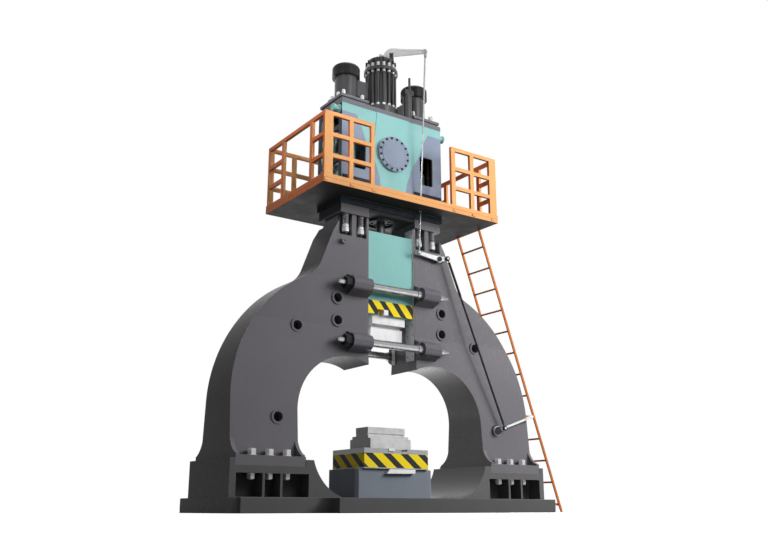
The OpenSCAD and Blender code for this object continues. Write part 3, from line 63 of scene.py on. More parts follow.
def linear(hex_colour, gain=1.0):
    """sRGB hex to the linear colour that a socket takes, lightened or darkened by gain."""
    parts = [int(hex_colour[i : i + 2], 16) / 255 for i in (1, 3, 5)]
    parts = [p / 12.92 if p <= 0.04045 else ((p + 0.055) / 1.055) ** 2.4 for p in parts]
    return [min(1.0, p * gain) for p in parts] + [1.0]


def per(size_mm):
    """Scale of a pattern in object metres whose features are this many millimetres across."""
    return 1.0 / (size_mm * MM)


def add(tree, kind, sockets=None, **settings):
    """Adds a shader node of a kind. A socket takes a plain value or another node's output."""
    node = tree.nodes.new("ShaderNode" + kind)
    for key, value in settings.items():
        setattr(node, key, value)
    for key, value in (sockets or {}).items():
        if isinstance(value, bpy.types.NodeSocket):
            tree.links.new(value, node.inputs[key])
        else:
            node.inputs[key].default_value = value
    return node


def blank(name):
    """A material with an empty tree and the piece's own coordinates."""
    material = bpy.data.materials.new(name)
    material.use_nodes = True
    tree = material.node_tree
    tree.nodes.clear()
    return material, tree, add(tree, "TexCoord")


def close(tree, **sockets):
    """Ends a tree with its surface shader."""
    names = {key.replace("_", " "): value for key, value in sockets.items()}
    shader = add(tree, "BsdfPrincipled", names)
    add(tree, "OutputMaterial", {"Surface": shader.outputs[0]})


def rubbed_edge(tree, radius_mm, place):
    """Mask of the outer edges where hands, slings and tools have rubbed the finish."""
    soft = add(tree, "Bevel", {"Radius": radius_mm * MM}, samples=4)
    face = add(tree, "NewGeometry")
    normals = {0: soft.outputs[0], 1: face.outputs["Normal"]}
    agree = add(tree, "VectorMath", normals, operation="DOT_PRODUCT")
    edge = add(
        tree,
        "MapRange",
        {"Value": agree.outputs["Value"], FROM_LOW: 0.985, FROM_HIGH: 0.86, TO_LOW: 0.0, TO_HIGH: 1.0},
    )
    chips = add(tree, "TexNoise", {"Vector": place, "Scale": per(CHIP_MM), "Detail": 4.0, "Roughness": 0.65})
    where = add(
        tree,
        "MapRange",
        {"Value": chips.outputs[0], FROM_LOW: 0.46, FROM_HIGH: 0.62, TO_LOW: 0.0, TO_HIGH: 1.0},
    )
    both = add(tree, "Math", {0: edge.outputs[0], 1: where.outputs[0]}, operation="MULTIPLY")
    return both.outputs[0]


def faces_along(tree, coord, axis):
    """Mask of the faces that look along an axis of the piece, either way."""
    face = add(tree, "SeparateXYZ", {0: coord.outputs["Normal"]})
    size = add(tree, "Math", {0: face.outputs[axis]}, operation="ABSOLUTE")
    return add(tree, "Math", {0: size.outputs[0], 1: 0.7}, operation="GREATER_THAN").outputs[0]


# Finishes


def enamel(
    name,
    colour,
    under,
    roughness=0.26,
    sheen=0.04,
    casting_mm=0.0,
    rub_mm=7.0,
    grime=0.5,
    shade_colour=None,
    above=0.0,
):
    """Sprayed machine enamel: an even soft sheen with orange peel, a slow drift of shade from coat to coat,
    grime low in the pores and the undercoat showing at rubbed edges. casting_mm is the depth of the swells
    that a sand-cast surface keeps under its paint. A second colour, when given, is painted shade: the front
    and rear faces over the height above keep this colour, and the other faces take that darker colour in
    place of the shade that falls on them."""
    material, tree, coord = blank(name)
    place = coord.outputs["Object"]
    drift = add(tree, "TexNoise", {"Vector": place, "Scale": per(DRIFT_MM), "Detail": 3.0})
    coat = add(
        tree,
        "Mix",
        {SHARE: drift.outputs[0], FIRST: linear(colour, 0.88), SECOND: linear(colour, 1.12)},
        data_type="RGBA",
    )
    # Painted shade: the faces other than the front and rear ones over the height above take the darker second
    # colour
    if shade_colour:
        at = add(tree, "SeparateXYZ", {0: place})
        over = add(tree, "Math", {0: at.outputs["Z"], 1: above}, operation="GREATER_THAN")
        lit = add(tree, "Math", {0: over.outputs[0], 1: faces_along(tree, coord, "Y")}, operation="MULTIPLY")
        coat = add(
            tree,
            "Mix",
            {SHARE: lit.outputs[0], FIRST: linear(shade_colour), SECOND: coat.outputs[MIXED]},
            data_type="RGBA",
        )
    smut = add(tree, "TexNoise", {"Vector": place, "Scale": per(GRIME_MM), "Detail": 5.0, "Roughness": 0.7})
    smut_mask = add(
        tree,
        "MapRange",
        {"Value": smut.outputs[0], FROM_LOW: 0.52, FROM_HIGH: 0.78, TO_LOW: 0.0, TO_HIGH: 0.35 * grime},
    )
    dulled = add(
        tree,
        "Mix",
        {SHARE: smut_mask.outputs[0], FIRST: coat.outputs[MIXED], SECOND: linear(colour, 0.55)},
        data_type="RGBA",
    )
    rub = rubbed_edge(tree, rub_mm, place)
    final = add(
        tree, "Mix", {SHARE: rub, FIRST: dulled.outputs[MIXED], SECOND: linear(under)}, data_type="RGBA"
    )
    gloss = add(
        tree,
        "MapRange",
        {
            "Value": smut.outputs[0],
            FROM_LOW: 0.25,
            FROM_HIGH: 0.75,
            TO_LOW: roughness - 0.04,
            TO_HIGH: roughness + 0.08,
        },
    )
    peel = add(tree, "TexNoise", {"Vector": place, "Scale": per(PEEL_MM), "Detail": 1.0})
    skin = add(
        tree, "Bump", {"Height": peel.outputs[0], "Distance": PEEL_DEPTH_MM * MM, "Strength": PEEL_STRENGTH}
    )
    normal = skin.outputs[0]
    if casting_mm:
        swell = add(tree, "TexNoise", {"Vector": place, "Scale": per(SWELL_MM), "Detail": 2.0})
        cast = {"Height": swell.outputs[0], "Distance": casting_mm * MM, "Strength": 0.5, "Normal": normal}
        normal = add(tree, "Bump", cast).outputs[0]
    close(
        tree,
        Base_Color=final.outputs[MIXED],
        Roughness=gloss.outputs[0],
        Specular_IOR_Level=sheen,
        Normal=normal,
    )
    return material


def machined(
    name,
    colour,
    roughness,
    lay_mm,
    stain="#5b554d",
    stained=0.25,
    metallic=0.9,
    cut=0.3,
    shaded_faces_colour=None,
    across="Y",
):
    """Bare machined metal: tool lines that run along the longest of lay_mm, clouding from handling and a thin
    oil stain that browns it in places. Real tool lines are 0.3 mm apart, drawn as coarse as lay_mm says so
    that they show. A second colour, when given, is painted shade: the faces that look along the axis across
    take that darker, non-metal colour in place of the shade that falls on them."""
    material, tree, coord = blank(name)
    place = coord.outputs["Object"]
    lines_at = add(tree, "VectorMath", {0: place, 1: [per(m) for m in lay_mm]}, operation="MULTIPLY")
    lines = add(
        tree, "TexNoise", {"Vector": lines_at.outputs[0], "Scale": 1.0, "Detail": 3.0, "Roughness": 0.6}
    )
    cloud = add(tree, "TexNoise", {"Vector": place, "Scale": per(CLOUD_MM), "Detail": 4.0})
    cloud_mask = add(
        tree,
        "MapRange",
        {"Value": cloud.outputs[0], FROM_LOW: 0.45, FROM_HIGH: 0.8, TO_LOW: 0.0, TO_HIGH: stained},
    )
    bright = add(
        tree,
        "Mix",
        {SHARE: lines.outputs[0], FIRST: linear(colour, 0.85), SECOND: linear(colour, 1.1)},
        data_type="RGBA",
    )
    final = add(
        tree,
        "Mix",
        {SHARE: cloud_mask.outputs[0], FIRST: bright.outputs[MIXED], SECOND: linear(stain)},
        data_type="RGBA",
    )
    gloss = add(
        tree,
        "MapRange",
        {
            "Value": cloud.outputs[0],
            FROM_LOW: 0.2,
            FROM_HIGH: 0.8,
            TO_LOW: roughness - 0.06,
            TO_HIGH: roughness + 0.1,
        },
    )
    skin = add(tree, "Bump", {"Height": lines.outputs[0], "Distance": CUT_DEPTH_MM * MM, "Strength": cut})
    metal = metallic
    # Painted shade: the faces along the axis across take the darker colour and lose their metal
    if shaded_faces_colour:
        coat = faces_along(tree, coord, across)
        final = add(
            tree, "Mix", {SHARE: coat, FIRST: final.outputs[MIXED], SECOND: linear(shaded_faces_colour)}, data_type="RGBA"
        )
        metal = add(tree, "MapRange", {"Value": coat, TO_LOW: metallic, TO_HIGH: 0.0}).outputs[0]
    close(
        tree,
        Base_Color=final.outputs[MIXED],
        Roughness=gloss.outputs[0],
        Metallic=metal,
        Normal=skin.outputs[0],
    )
    return material


# Colours of the stripes, and the share of each pitch that is yellow
YELLOW, CHARCOAL, YELLOW_SHARE = "#f0d62e", "#38383a", 0.55


def hazard_striped(name, ground, ground_metal, low, high, pitch_mm, lean_rate, shift):
    """Yellow and charcoal hazard stripes sprayed through a mask over the ground finish, between two heights.
    They lean the same way on every upright face, lean_rate along for each step up, and are chipped where
    work has knocked them."""
    material, tree, coord = blank(name)
    place = coord.outputs["Object"]
    at = add(tree, "SeparateXYZ", {0: place})
    face = add(tree, "SeparateXYZ", {0: coord.outputs["Normal"]})
    across = add(tree, "Math", {0: face.outputs["X"], 1: at.outputs["Y"]}, operation="MULTIPLY")
    along = add(tree, "Math", {0: face.outputs["Y"], 1: at.outputs["X"]}, operation="MULTIPLY")
    run = add(tree, "Math", {0: across.outputs[0], 1: along.outputs[0]}, operation="SUBTRACT")
    lean = add(tree, "Math", {0: at.outputs["Z"], 1: lean_rate, 2: run.outputs[0]}, operation="MULTIPLY_ADD")
    count = add(tree, "Math", {0: lean.outputs[0], 1: per(pitch_mm), 2: shift}, operation="MULTIPLY_ADD")
    step = add(tree, "Math", {0: count.outputs[0]}, operation="FRACT")
    yellow = add(tree, "Math", {0: step.outputs[0], 1: YELLOW_SHARE}, operation="LESS_THAN")
    over_low = add(tree, "Math", {0: at.outputs["Z"], 1: low}, operation="GREATER_THAN")
    under_high = add(tree, "Math", {0: at.outputs["Z"], 1: high}, operation="LESS_THAN")
    band = add(tree, "Math", {0: over_low.outputs[0], 1: under_high.outputs[0]}, operation="MULTIPLY")
    knocks = add(tree, "TexNoise", {"Vector": place, "Scale": per(KNOCK_MM), "Detail": 6.0, "Roughness": 0.75})
    sound = add(
        tree,
        "MapRange",
        {"Value": knocks.outputs[0], FROM_LOW: 0.72, FROM_HIGH: 0.66, TO_LOW: 0.0, TO_HIGH: 1.0},
    )
    painted = add(tree, "Math", {0: band.outputs[0], 1: sound.outputs[0]}, operation="MULTIPLY")
    stripes = add(
        tree,
        "Mix",
        {SHARE: yellow.outputs[0], FIRST: linear(CHARCOAL), SECOND: linear(YELLOW)},
        data_type="RGBA",
    )
    base = add(
        tree,
        "Mix",
        {SHARE: knocks.outputs[0], FIRST: linear(ground, 0.9), SECOND: linear(ground, 1.08)},
        data_type="RGBA",
    )
    final = add(
        tree,
        "Mix",
        {SHARE: painted.outputs[0], FIRST: base.outputs[MIXED], SECOND: stripes.outputs[MIXED]},
        data_type="RGBA",
    )
    metal = add(
        tree,
        "MapRange",
        {"Value": painted.outputs[0], FROM_LOW: 0.0, FROM_HIGH: 1.0, TO_LOW: ground_metal, TO_HIGH: 0.0},
    )
    peel = add(tree, "TexNoise", {"Vector": place, "Scale": per(PEEL_MM), "Detail": 1.0})
    skin = add(
        tree, "Bump", {"Height": peel.outputs[0], "Distance": PEEL_DEPTH_MM * MM, "Strength": PEEL_STRENGTH}
    )
    close(
        tree,
        Base_Color=final.outputs[MIXED],
        Roughness=0.3,
        Metallic=metal.outputs[0],
        Specular_IOR_Level=0.04,
        Normal=skin.outputs[0],
    )
    return material


# Spacing of the lugs, as coarse as it needs to be to show, their height and the tone of their worn crowns
LUG_MM, LUG_HEIGHT_MM, LUG_CROWN = 36, 3, "#6c6a66"


def tread_plate(name, colour):
    """Black deck plate with raised lugs on its upper face, worn paler on their crowns."""
    material, tree, coord = blank(name)
    place = coord.outputs["Object"]
    turned_at = add(
        tree, "Mapping", {"Vector": place, "Rotation": (0, 0, math.radians(45)), "Scale": [per(LUG_MM)] * 3}
    )
    at = add(tree, "SeparateXYZ", {0: turned_at.outputs[0]})
    wave_x = add(tree, "Math", {0: at.outputs["X"]}, operation="SINE")
    wave_y = add(tree, "Math", {0: at.outputs["Y"]}, operation="SINE")
    crossed = add(tree, "Math", {0: wave_x.outputs[0], 1: wave_y.outputs[0]}, operation="MULTIPLY")
    lug = add(
        tree,
        "MapRange",
        {"Value": crossed.outputs[0], FROM_LOW: 0.45, FROM_HIGH: 0.75, TO_LOW: 0.0, TO_HIGH: 1.0},
    )
    face = add(tree, "SeparateXYZ", {0: coord.outputs["Normal"]})
    upper = add(tree, "Math", {0: face.outputs["Z"], 1: 0.7}, operation="GREATER_THAN")
    mask = add(tree, "Math", {0: lug.outputs[0], 1: upper.outputs[0]}, operation="MULTIPLY")
    dust = add(tree, "TexNoise", {"Vector": place, "Scale": per(DUST_MM), "Detail": 5.0, "Roughness": 0.7})
    coat = add(
        tree,
        "Mix",
        {SHARE: dust.outputs[0], FIRST: linear(colour, 0.8), SECOND: linear(colour, 1.25)},
        data_type="RGBA",
    )
    final = add(
        tree,
        "Mix",
        {SHARE: mask.outputs[0], FIRST: coat.outputs[MIXED], SECOND: linear(LUG_CROWN)},
        data_type="RGBA",
    )
    relief = add(tree, "Bump", {"Height": mask.outputs[0], "Distance": LUG_HEIGHT_MM * MM, "Strength": 1.0})
    gloss = add(
        tree,
        "MapRange",
        {"Value": dust.outputs[0], FROM_LOW: 0.25, FROM_HIGH: 0.75, TO_LOW: 0.5, TO_HIGH: 0.7},
    )
    close(
        tree,
        Base_Color=final.outputs[MIXED],
        Roughness=gloss.outputs[0],
        Specular_IOR_Level=0.2,
        Normal=relief.outputs[0],
    )
    return material


# Matt grey machine enamel on the sand-cast frame: broad, soft shade over slow swells
frame_enamel = enamel(
    "frame_casting_enamel", "#6b696d", "#8d8d92", roughness=0.24, sheen=0.02, casting_mm=1.2
)
# The same enamel where it is wiped clean: the flank in the throat mirrors the bright floor
frame_gloss = enamel("frame_gloss_enamel", "#666468", "#8d8d92", roughness=0.24, sheen=0.3, casting_mm=1.2)
# Glossier coat in the right pedestal's hollow, with a soft bright streak low down
base_gloss = enamel("base_gloss_enamel", "#565657", "#7c7c7e", roughness=0.22, sheen=0.35, casting_mm=1.4)
# Matt dark enamel on the sand-cast base, a tone deeper than the frame
base_enamel = enamel("base_casting_enamel", "#5b5b5c", "#7c7c7e", roughness=0.24, sheen=0.02, casting_mm=1.4)
# Grey enamel on turned sleeves: a clean highlight along each barrel
sleeve_enamel = enamel("gloss_sleeve_enamel", "#5a585e", "#8d8d92", roughness=0.28, sheen=0.3)
# Pale teal enamel of pumps and ports
teal_enamel = enamel("pale_teal_enamel", "#85b3b1", "#5d6a6a")
# Pale teal enamel on the head's front and rear, with painted shade: its ends and its foot take a dark slate
# where the lamps leave them darker
head_enamel = enamel("teal_head_enamel", "#85b3b1", "#5d6a6a", shade_colour="#3c4149", above=4.705)
# Blue grey enamel of panels and cover, cooler than the teal beside it
blue_grey_enamel = enamel("blue_grey_enamel", "#818b9c", "#5a606a")
# Blue grey enamel on the sand-cast anvil
anvil_enamel = enamel("blue_anvil_enamel", "#7c838c", "#8a8f98", roughness=0.24, sheen=0.02, casting_mm=1.2)
# Slate enamel on the rolled top plate
slate_enamel = enamel("slate_plate_enamel", "#6b6c71", "#a0a0a2")
# Orange enamel on welded steel, paler on the faces to the front and the rear, with painted shade: the other
# faces take a deeper orange
orange_enamel = enamel("orange_tube_enamel", "#d59c66", "#8f5236", rub_mm=4.0, shade_colour="#cb6f42")
# Orange enamel on rungs and rails, worn by hands and boots
ladder_enamel = enamel(
    "worn_orange_enamel", "#b8682f", "#6d4630", roughness=0.34, sheen=0.12, rub_mm=4.0, grime=1.2
)
# Charcoal enamel on cast motor and valve housings, glossy, with upright highlights
charcoal_enamel = enamel("charcoal_motor_enamel", "#3a3a3c", "#6b6b6d", roughness=0.2, sheen=0.4, rub_mm=4.0)
# Black enamel on pressed steel cowls
cowl_enamel = enamel("black_cowl_enamel", "#232325", "#5f5f61", roughness=0.24, sheen=0.12, rub_mm=4.0)
# Black enamel on nuts, screws and small forgings
fitting_enamel = enamel("black_fitting_enamel", "#29292c", "#7a7a7c", roughness=0.28, sheen=0.15, rub_mm=4.0)
# Black tread plate with lugs that boots have polished
deck_enamel = tread_plate("black_tread_plate", "#181615")
# Turned bar: fine rings and a bright streak along it
turned_steel = machined("turned_bar_steel", "#9a9b9d", 0.27, (300, 4, 4))
# Drawn pipe browned by hot oil
pipe_steel = machined(
    "browned_pipe_steel", "#54402f", 0.4, (5, 5, 90), stain="#2c2018", metallic=0.3, cut=0.1
)
# Blackened stud
stud_steel = machined("blackened_stud_steel", "#2c2c2f", 0.4, (12, 12, 12), metallic=0.2, cut=0.1)
# Drawn spring wire, dull grey
spring_steel = machined("bare_spring_steel", "#97989b", 0.4, (12, 12, 12), metallic=0.1, cut=0.1)
# Milled and rubbed levers, almost white
linkage_steel = machined(
    "bright_linkage_steel", "#d4d5d6", 0.32, (8, 8, 8), stained=0.15, metallic=0.3, cut=0.15
)
# Milled tool steel with long cutter lines, with painted shade on its ends: a dark grey there for the shade
# they fall in
die_steel = machined(
    "milled_die_steel", "#c4c4c5", 0.38, (5, 260, 5), stained=0.3, metallic=0.15, shaded_faces_colour="#5c5b5b", across="X"
)
# Ground tool steel, pale and even
holder_steel = machined("ground_holder_steel", "#e8e8e9", 0.36, (5, 260, 5), stained=0.2, metallic=0.1)
# Ground guide plates, painted almost white as a painted reflection where the ram runs, with painted shade of
# the gap in a darker grey on the edges to the front and the rear
liner_steel = machined(
    "ground_liner_steel", "#ececee", 0.3, (4, 4, 240), stained=0.08, metallic=0.0, cut=0.1, shaded_faces_colour="#5f5e61"
)
# Zinc plated bolts and nuts, pale with dull patches
zinc_plate = machined(
    "zinc_plated_steel", "#c6c7c8", 0.36, (12, 12, 12), stain="#86837b", stained=0.3, metallic=0.25, cut=0.1
)
# Machined cast iron, painted nearly black as painted shade under the head
cast_iron = machined(
    "machined_cast_iron", "#1f1f21", 0.45, (7, 7, 7), stain="#161514", stained=0.4, metallic=0.2
)
# Hard chrome rod, smooth, with a long thin highlight
hard_chrome = machined("hard_chrome_rod", "#58595b", 0.3, (3, 3, 400), stained=0.05, metallic=0.5, cut=0.05)
# Cast and turned bronze of the couplings
coupling_bronze = machined("bronze_coupling", "#9a6a3c", 0.34, (5, 5, 90), stain="#4a2f18")
# Teal enamel on the forged ram, with hazard stripes at its foot
ram_enamel = hazard_striped("striped_ram_enamel", "#84b5b1", 0.0, 2.936, 3.15, 246, 0.8, 0.2)
# Ground steel of the sow block, with hazard stripes round it
sow_enamel = hazard_striped("striped_anvil_enamel", "#a6a7a8", 0.2, 0.633, 0.836, 319, 1.24, 0.1)

FINISHES = {
    frame_enamel: ["frame_left", "frame_bushes"],
    frame_gloss: ["frame_right"],
    sleeve_enamel: ["tie_rod_sleeves"],
    base_enamel: ["base_plate", "pedestal_left"],
    base_gloss: ["pedestal_right"],
    teal_enamel: ["pump_left", "pump_right", "side_ports"],
    head_enamel: ["head_body"],
    blue_grey_enamel: ["head_panels", "head_cover"],
    anvil_enamel: ["anvil_base"],
    slate_enamel: ["head_top_plate"],
    orange_enamel: ["platform_edge", "railings"],
    ladder_enamel: ["ladder"],
    charcoal_enamel: ["motor_left", "motor_right", "valve_tower", "valve_cap"],
    cowl_enamel: ["motor_cowls"],
    deck_enamel: ["platform_deck"],
    fitting_enamel: ["tie_rod_nuts", "head_ledges", "liner_screws", "lever_pins", "pull_rod", "tower_bolts"],
    turned_steel: ["tie_rods", "control_rod", "valve_spool"],
    pipe_steel: ["oil_pipes"],
    stud_steel: ["buffer_studs"],
    spring_steel: ["buffer_springs"],
    die_steel: ["lower_die_holder", "lower_die"],
    holder_steel: ["upper_die_holder", "upper_die", "anvil_keys", "ram_key"],
    liner_steel: ["guide_liners"],
    zinc_plate: ["foot_bolts", "foot_nuts", "head_bolts", "buffer_nuts", "lifting_eyes"],
    linkage_steel: ["hand_lever", "rocker_lever", "valve_lever"],
    cast_iron: ["cylinder", "gland", "piston", "piston_rings"],
    hard_chrome: ["piston_rod"],
    coupling_bronze: ["rotor_left", "rotor_right"],
    ram_enamel: ["ram"],
    sow_enamel: ["sow_block"],
}
for finish, names in FINISHES.items():
    for name in names:
        nodes[name].data.materials.clear()
        nodes[name].data.materials.append(finish)


# Edges: the sharp corners of castings, plates and tubes are broken by this many millimetres

WELD_MM, FLAT_DEG, CORNER_DEG, SHARP_DEG = 0.02, 0.2, 40, 32
BROKEN_EDGES = {
    14.0: ["base_plate", "pedestal_left", "pedestal_right"],
    8.0: ["frame_left", "frame_right", "anvil_base", "ram"],
    5.0: [
        "sow_block", "lower_die_holder", "upper_die_holder", "head_top_plate", "head_ledges", "platform_edge"
    ],
    3.0: [
        "lower_die",
        "upper_die",
        "ram_key",
        "anvil_keys",
        "railings",
        "valve_lever",
        "rocker_lever",
        "hand_lever",
    ],
    2.0: ["head_panels", "head_cover", "motor_cowls", "side_ports"],
}


def break_edges(name, width_mm):
    """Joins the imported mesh's faces, rounds its sharp edges and evens the shading over the flats."""
    node = nodes[name]
    join = node.modifiers.new("join", "WELD")
    join.merge_threshold = WELD_MM * MM
    flats = node.modifiers.new("flats", "DECIMATE")
    flats.decimate_type = "DISSOLVE"
    flats.angle_limit = math.radians(FLAT_DEG)
    edges = node.modifiers.new("edges", "BEVEL")
    edges.width, edges.segments = width_mm * MM, 2
    edges.limit_method, edges.angle_limit = "ANGLE", math.radians(CORNER_DEG)
    edges.harden_normals = True
    even = node.modifiers.new("even", "WEIGHTED_NORMAL")
    even.keep_sharp = True


for width_mm, names in BROKEN_EDGES.items():
    for name in names:
        break_edges(name, width_mm)


# Pieces


def make_piece(name, mesh, finish, body, stands_for=()):
    """Makes a piece from a bmesh, which rides on a body and may stand for CAD nodes."""
    data = bpy.data.meshes.new(name)
    bmesh.ops.recalc_face_normals(mesh, faces=mesh.faces)
    mesh.to_mesh(data)
    mesh.free()
    piece = bpy.data.objects.new(name, data)
    bpy.context.scene.collection.objects.link(piece)
    data.materials.append(finish)
    data.shade_smooth()
    data.set_sharp_from_angle(angle=math.radians(SHARP_DEG))
    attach(piece, body)
    if stands_for:
        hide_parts(*stands_for)
    return piece


def sweep(mesh, path, radius, sides=10):
    """Adds a closed round bar that follows a path."""
    rings = []
    for i, point in enumerate(path):
        ahead = (path[min(i + 1, len(path) - 1)] - path[max(i - 1, 0)]).normalized()
        side = ahead.orthogonal() if abs(ahead.z) > 0.9 else ahead.cross(Vector((0, 0, 1)))
        side.normalize()
        up = side.cross(ahead)
        rings.append([
            mesh.verts.new(point + radius * (math.cos(a) * side + math.sin(a) * up))
            for a in (2 * math.pi * k / sides for k in range(sides))
        ])
    skin_rings(mesh, rings)


def skin_rings(mesh, rings):
    """Joins rings of vertices into a closed body."""
    count = len(rings[0])
    for low, high in zip(rings, rings[1:]):
        for k in range(count):
            mesh.faces.new((low[k], low[(k + 1) % count], high[(k + 1) % count], high[k]))
    mesh.faces.new(rings[0][::-1])
    mesh.faces.new(rings[-1])


# Turns a profile's own upward axis to the way that a fitting points
AXES = {
    "z": Matrix(((1, 0, 0), (0, 1, 0), (0, 0, 1))),
    "-x": Matrix(((0, 0, -1), (0, 1, 0), (1, 0, 0))),
    "-y": Matrix(((1, 0, 0), (0, 0, -1), (0, 1, 0))),
}
SIDES = 24
CORNERS = [(side_x, side_y) for side_x in (-1, 1) for side_y in (-1, 1)]


def turned(mesh, at, axis, profile):
    """Adds a closed body of rings round an axis, lengths in millimetres. A ring is a height and a radius. A
    third number makes it a hexagon with that radius at its corners, where the ring is that much lower."""
    rings = []
    for height, radius, *drop in profile:
        ring = []
        for k in range(SIDES):
            turn = 2 * math.pi * k / SIDES
            out, up = radius, height
            if drop:
                flat = radius * math.cos(math.pi / 6)
                out = flat / math.cos(turn % (math.pi / 3) - math.pi / 6)
                up -= drop[0] * (out - flat) / (radius - flat)
            spoke = AXES[axis] @ Vector((out * math.cos(turn), out * math.sin(turn), up))
            ring.append(mesh.verts.new(Vector(at) + spoke * MM))
        rings.append(ring)
    skin_rings(mesh, rings)


# Chamfer of a hexagon, as shares of its radius: how far its corners drop and how wide its flat face is
CORNER_DROP, FACE_SHARE = 0.09, 0.85


def hexagon(low, high, radius, both=False):
    """Profile of a bolt head or a nut: chamfered corners on the outer face, or on both."""
    drop, flat = radius * CORNER_DROP, radius * FACE_SHARE
    foot = [(low, flat), (low, radius, -drop)] if both else [(low, radius, 0.0)]
    return foot + [(high, radius, drop), (high, flat)]


# Depth of a thread as a share of its pitch
THREAD_DEPTH = 0.55


def thread(low, high, radius, pitch):
    """Profile of a threaded bar end with its lead chamfer. Each turn is a crest and a root."""
    root = radius - pitch * THREAD_DEPTH
    turns = []
    for i in range(int((high - low) / pitch)):
        turns += [(low + pitch * i, radius), (low + pitch * (i + 0.5), root)]
    return turns + [(high - pitch * 0.4, root), (high, radius - pitch)]


# Bolts that hold the feet, with washers and threaded ends under the seats
FOOT_X, FOOT_Y = (1.8905, 2.1505, 2.4105), 0.530
FOOT_TOP, FOOT_WINDOW_TOP = 730, 502
FOOT_END, FOOT_BAR_R, FOOT_HEAD_R, FOOT_NUT_R, FOOT_WASHER_R = 420, 36, 60, 56, 64
FOOT_HEAD_LOW, FOOT_HEAD_TOP = FOOT_TOP + 11, FOOT_TOP + 88
FOOT_NUT_LOW, FOOT_NUT_TOP = FOOT_WINDOW_TOP - 72, FOOT_WINDOW_TOP - 8
heads, lower_nuts = bmesh.new(), bmesh.new()
for side_x, side_y in CORNERS:
    for foot_x in FOOT_X:
        at = (side_x * foot_x, side_y * FOOT_Y, 0)
        washer = [
            (FOOT_TOP, FOOT_WASHER_R), (FOOT_HEAD_LOW - 2, FOOT_WASHER_R), (FOOT_HEAD_LOW, FOOT_WASHER_R - 2)
        ]
        turned(heads, at, "z", washer)
        turned(heads, at, "z", hexagon(FOOT_HEAD_LOW, FOOT_HEAD_TOP, FOOT_HEAD_R) + [(FOOT_HEAD_TOP + 2, 46)])
        turned(heads, at, "z", [(FOOT_END, 31), (FOOT_END + 10, FOOT_BAR_R), (FOOT_HEAD_LOW - 1, FOOT_BAR_R)])
        turned(lower_nuts, at, "z", hexagon(FOOT_NUT_LOW, FOOT_NUT_TOP, FOOT_NUT_R, both=True))
        turned(lower_nuts, at, "z", [(FOOT_NUT_TOP, FOOT_NUT_R + 4), (FOOT_WINDOW_TOP, FOOT_NUT_R + 4)])
make_piece("foot_bolt_heads", heads, zinc_plate, "stand", ["foot_bolts"])
make_piece("foot_lock_nuts", lower_nuts, zinc_plate, "stand", ["foot_nuts"])

# Nuts on the left ends of the tie rods
TIE_Y, TIE_Z = 0.406, (2.443, 3.318)
TIE_SEAT, TIE_NUT_LOW, TIE_NUT_TOP, TIE_NUT_R = 820, 828, 932, 94
tie_nuts = bmesh.new()
for side_y in (-1, 1):
    for tie_z in TIE_Z:
        at = (0, side_y * TIE_Y, tie_z)
        turned(tie_nuts, at, "-x", [(TIE_SEAT, 84), (TIE_NUT_LOW, 84)])
        nut = hexagon(TIE_NUT_LOW, TIE_NUT_TOP, TIE_NUT_R, both=True)
        turned(tie_nuts, at, "-x", nut + [(TIE_NUT_TOP + 3, 72)])
make_piece("tie_rod_hex_nuts", tie_nuts, fitting_enamel, "stand", ["tie_rod_nuts"])

# Screws of the round cover and of the gland, and the capped nuts on the motor feet
COVER_Z, COVER_FACE, COVER_RING, COVER_COUNT = 5.606, 395, 0.270, 16
GLAND_LOW, GLAND_RING, GLAND_COUNT = 4538, 0.140, 8
MOTOR_X, MOTOR_FOOT_TOP = 0.700, 6476
MOTOR_STUDS = ((0.205, 0.095), (0.180, 0.220))
screws, capped = bmesh.new(), bmesh.new()
for i in range(COVER_COUNT):
    turn = 2 * math.pi * (i + 0.5) / COVER_COUNT
    at = (COVER_RING * math.cos(turn), 0, COVER_Z + COVER_RING * math.sin(turn))
    low = COVER_FACE + 2
    turned(screws, at, "-y", [(COVER_FACE - 30, 9), (COVER_FACE, 9), (COVER_FACE, 21), (low, 21)])
    turned(screws, at, "-y", hexagon(low, low + 12, 17.3))
for i in range(GLAND_COUNT):
    turn = 2 * math.pi * i / GLAND_COUNT
    at = (GLAND_RING * math.cos(turn), GLAND_RING * math.sin(turn), 0)
    head = [(GLAND_LOW - 16, 18)] + hexagon(GLAND_LOW - 15, GLAND_LOW, 24)
    turned(screws, at, "z", head + [(GLAND_LOW + 60, 14)])
top, nut_r, dome_r = MOTOR_FOOT_TOP, 33, 29
dome = [(top + 78 + 30 * math.sin(a), dome_r * math.cos(a)) for a in (0.2, 0.6, 1.0, 1.35)]
for side_x in (-1, 1):
    for sign_x, sign_y in CORNERS:
        for stud_x, stud_y in MOTOR_STUDS:
            at = (side_x * MOTOR_X + sign_x * stud_x, sign_y * stud_y, 0)
            turned(capped, at, "z", [(top - 30, 16), (top, 16), (top, nut_r), (top + 5, nut_r)])
            turned(capped, at, "z", hexagon(top + 5, top + 66, nut_r) + [(top + 70, dome_r)] + dome)
make_piece("cover_screws", screws, fitting_enamel, "stand", ["head_bolts"])
make_piece("motor_cap_nuts", capped, zinc_plate, "stand", ["head_bolts"])

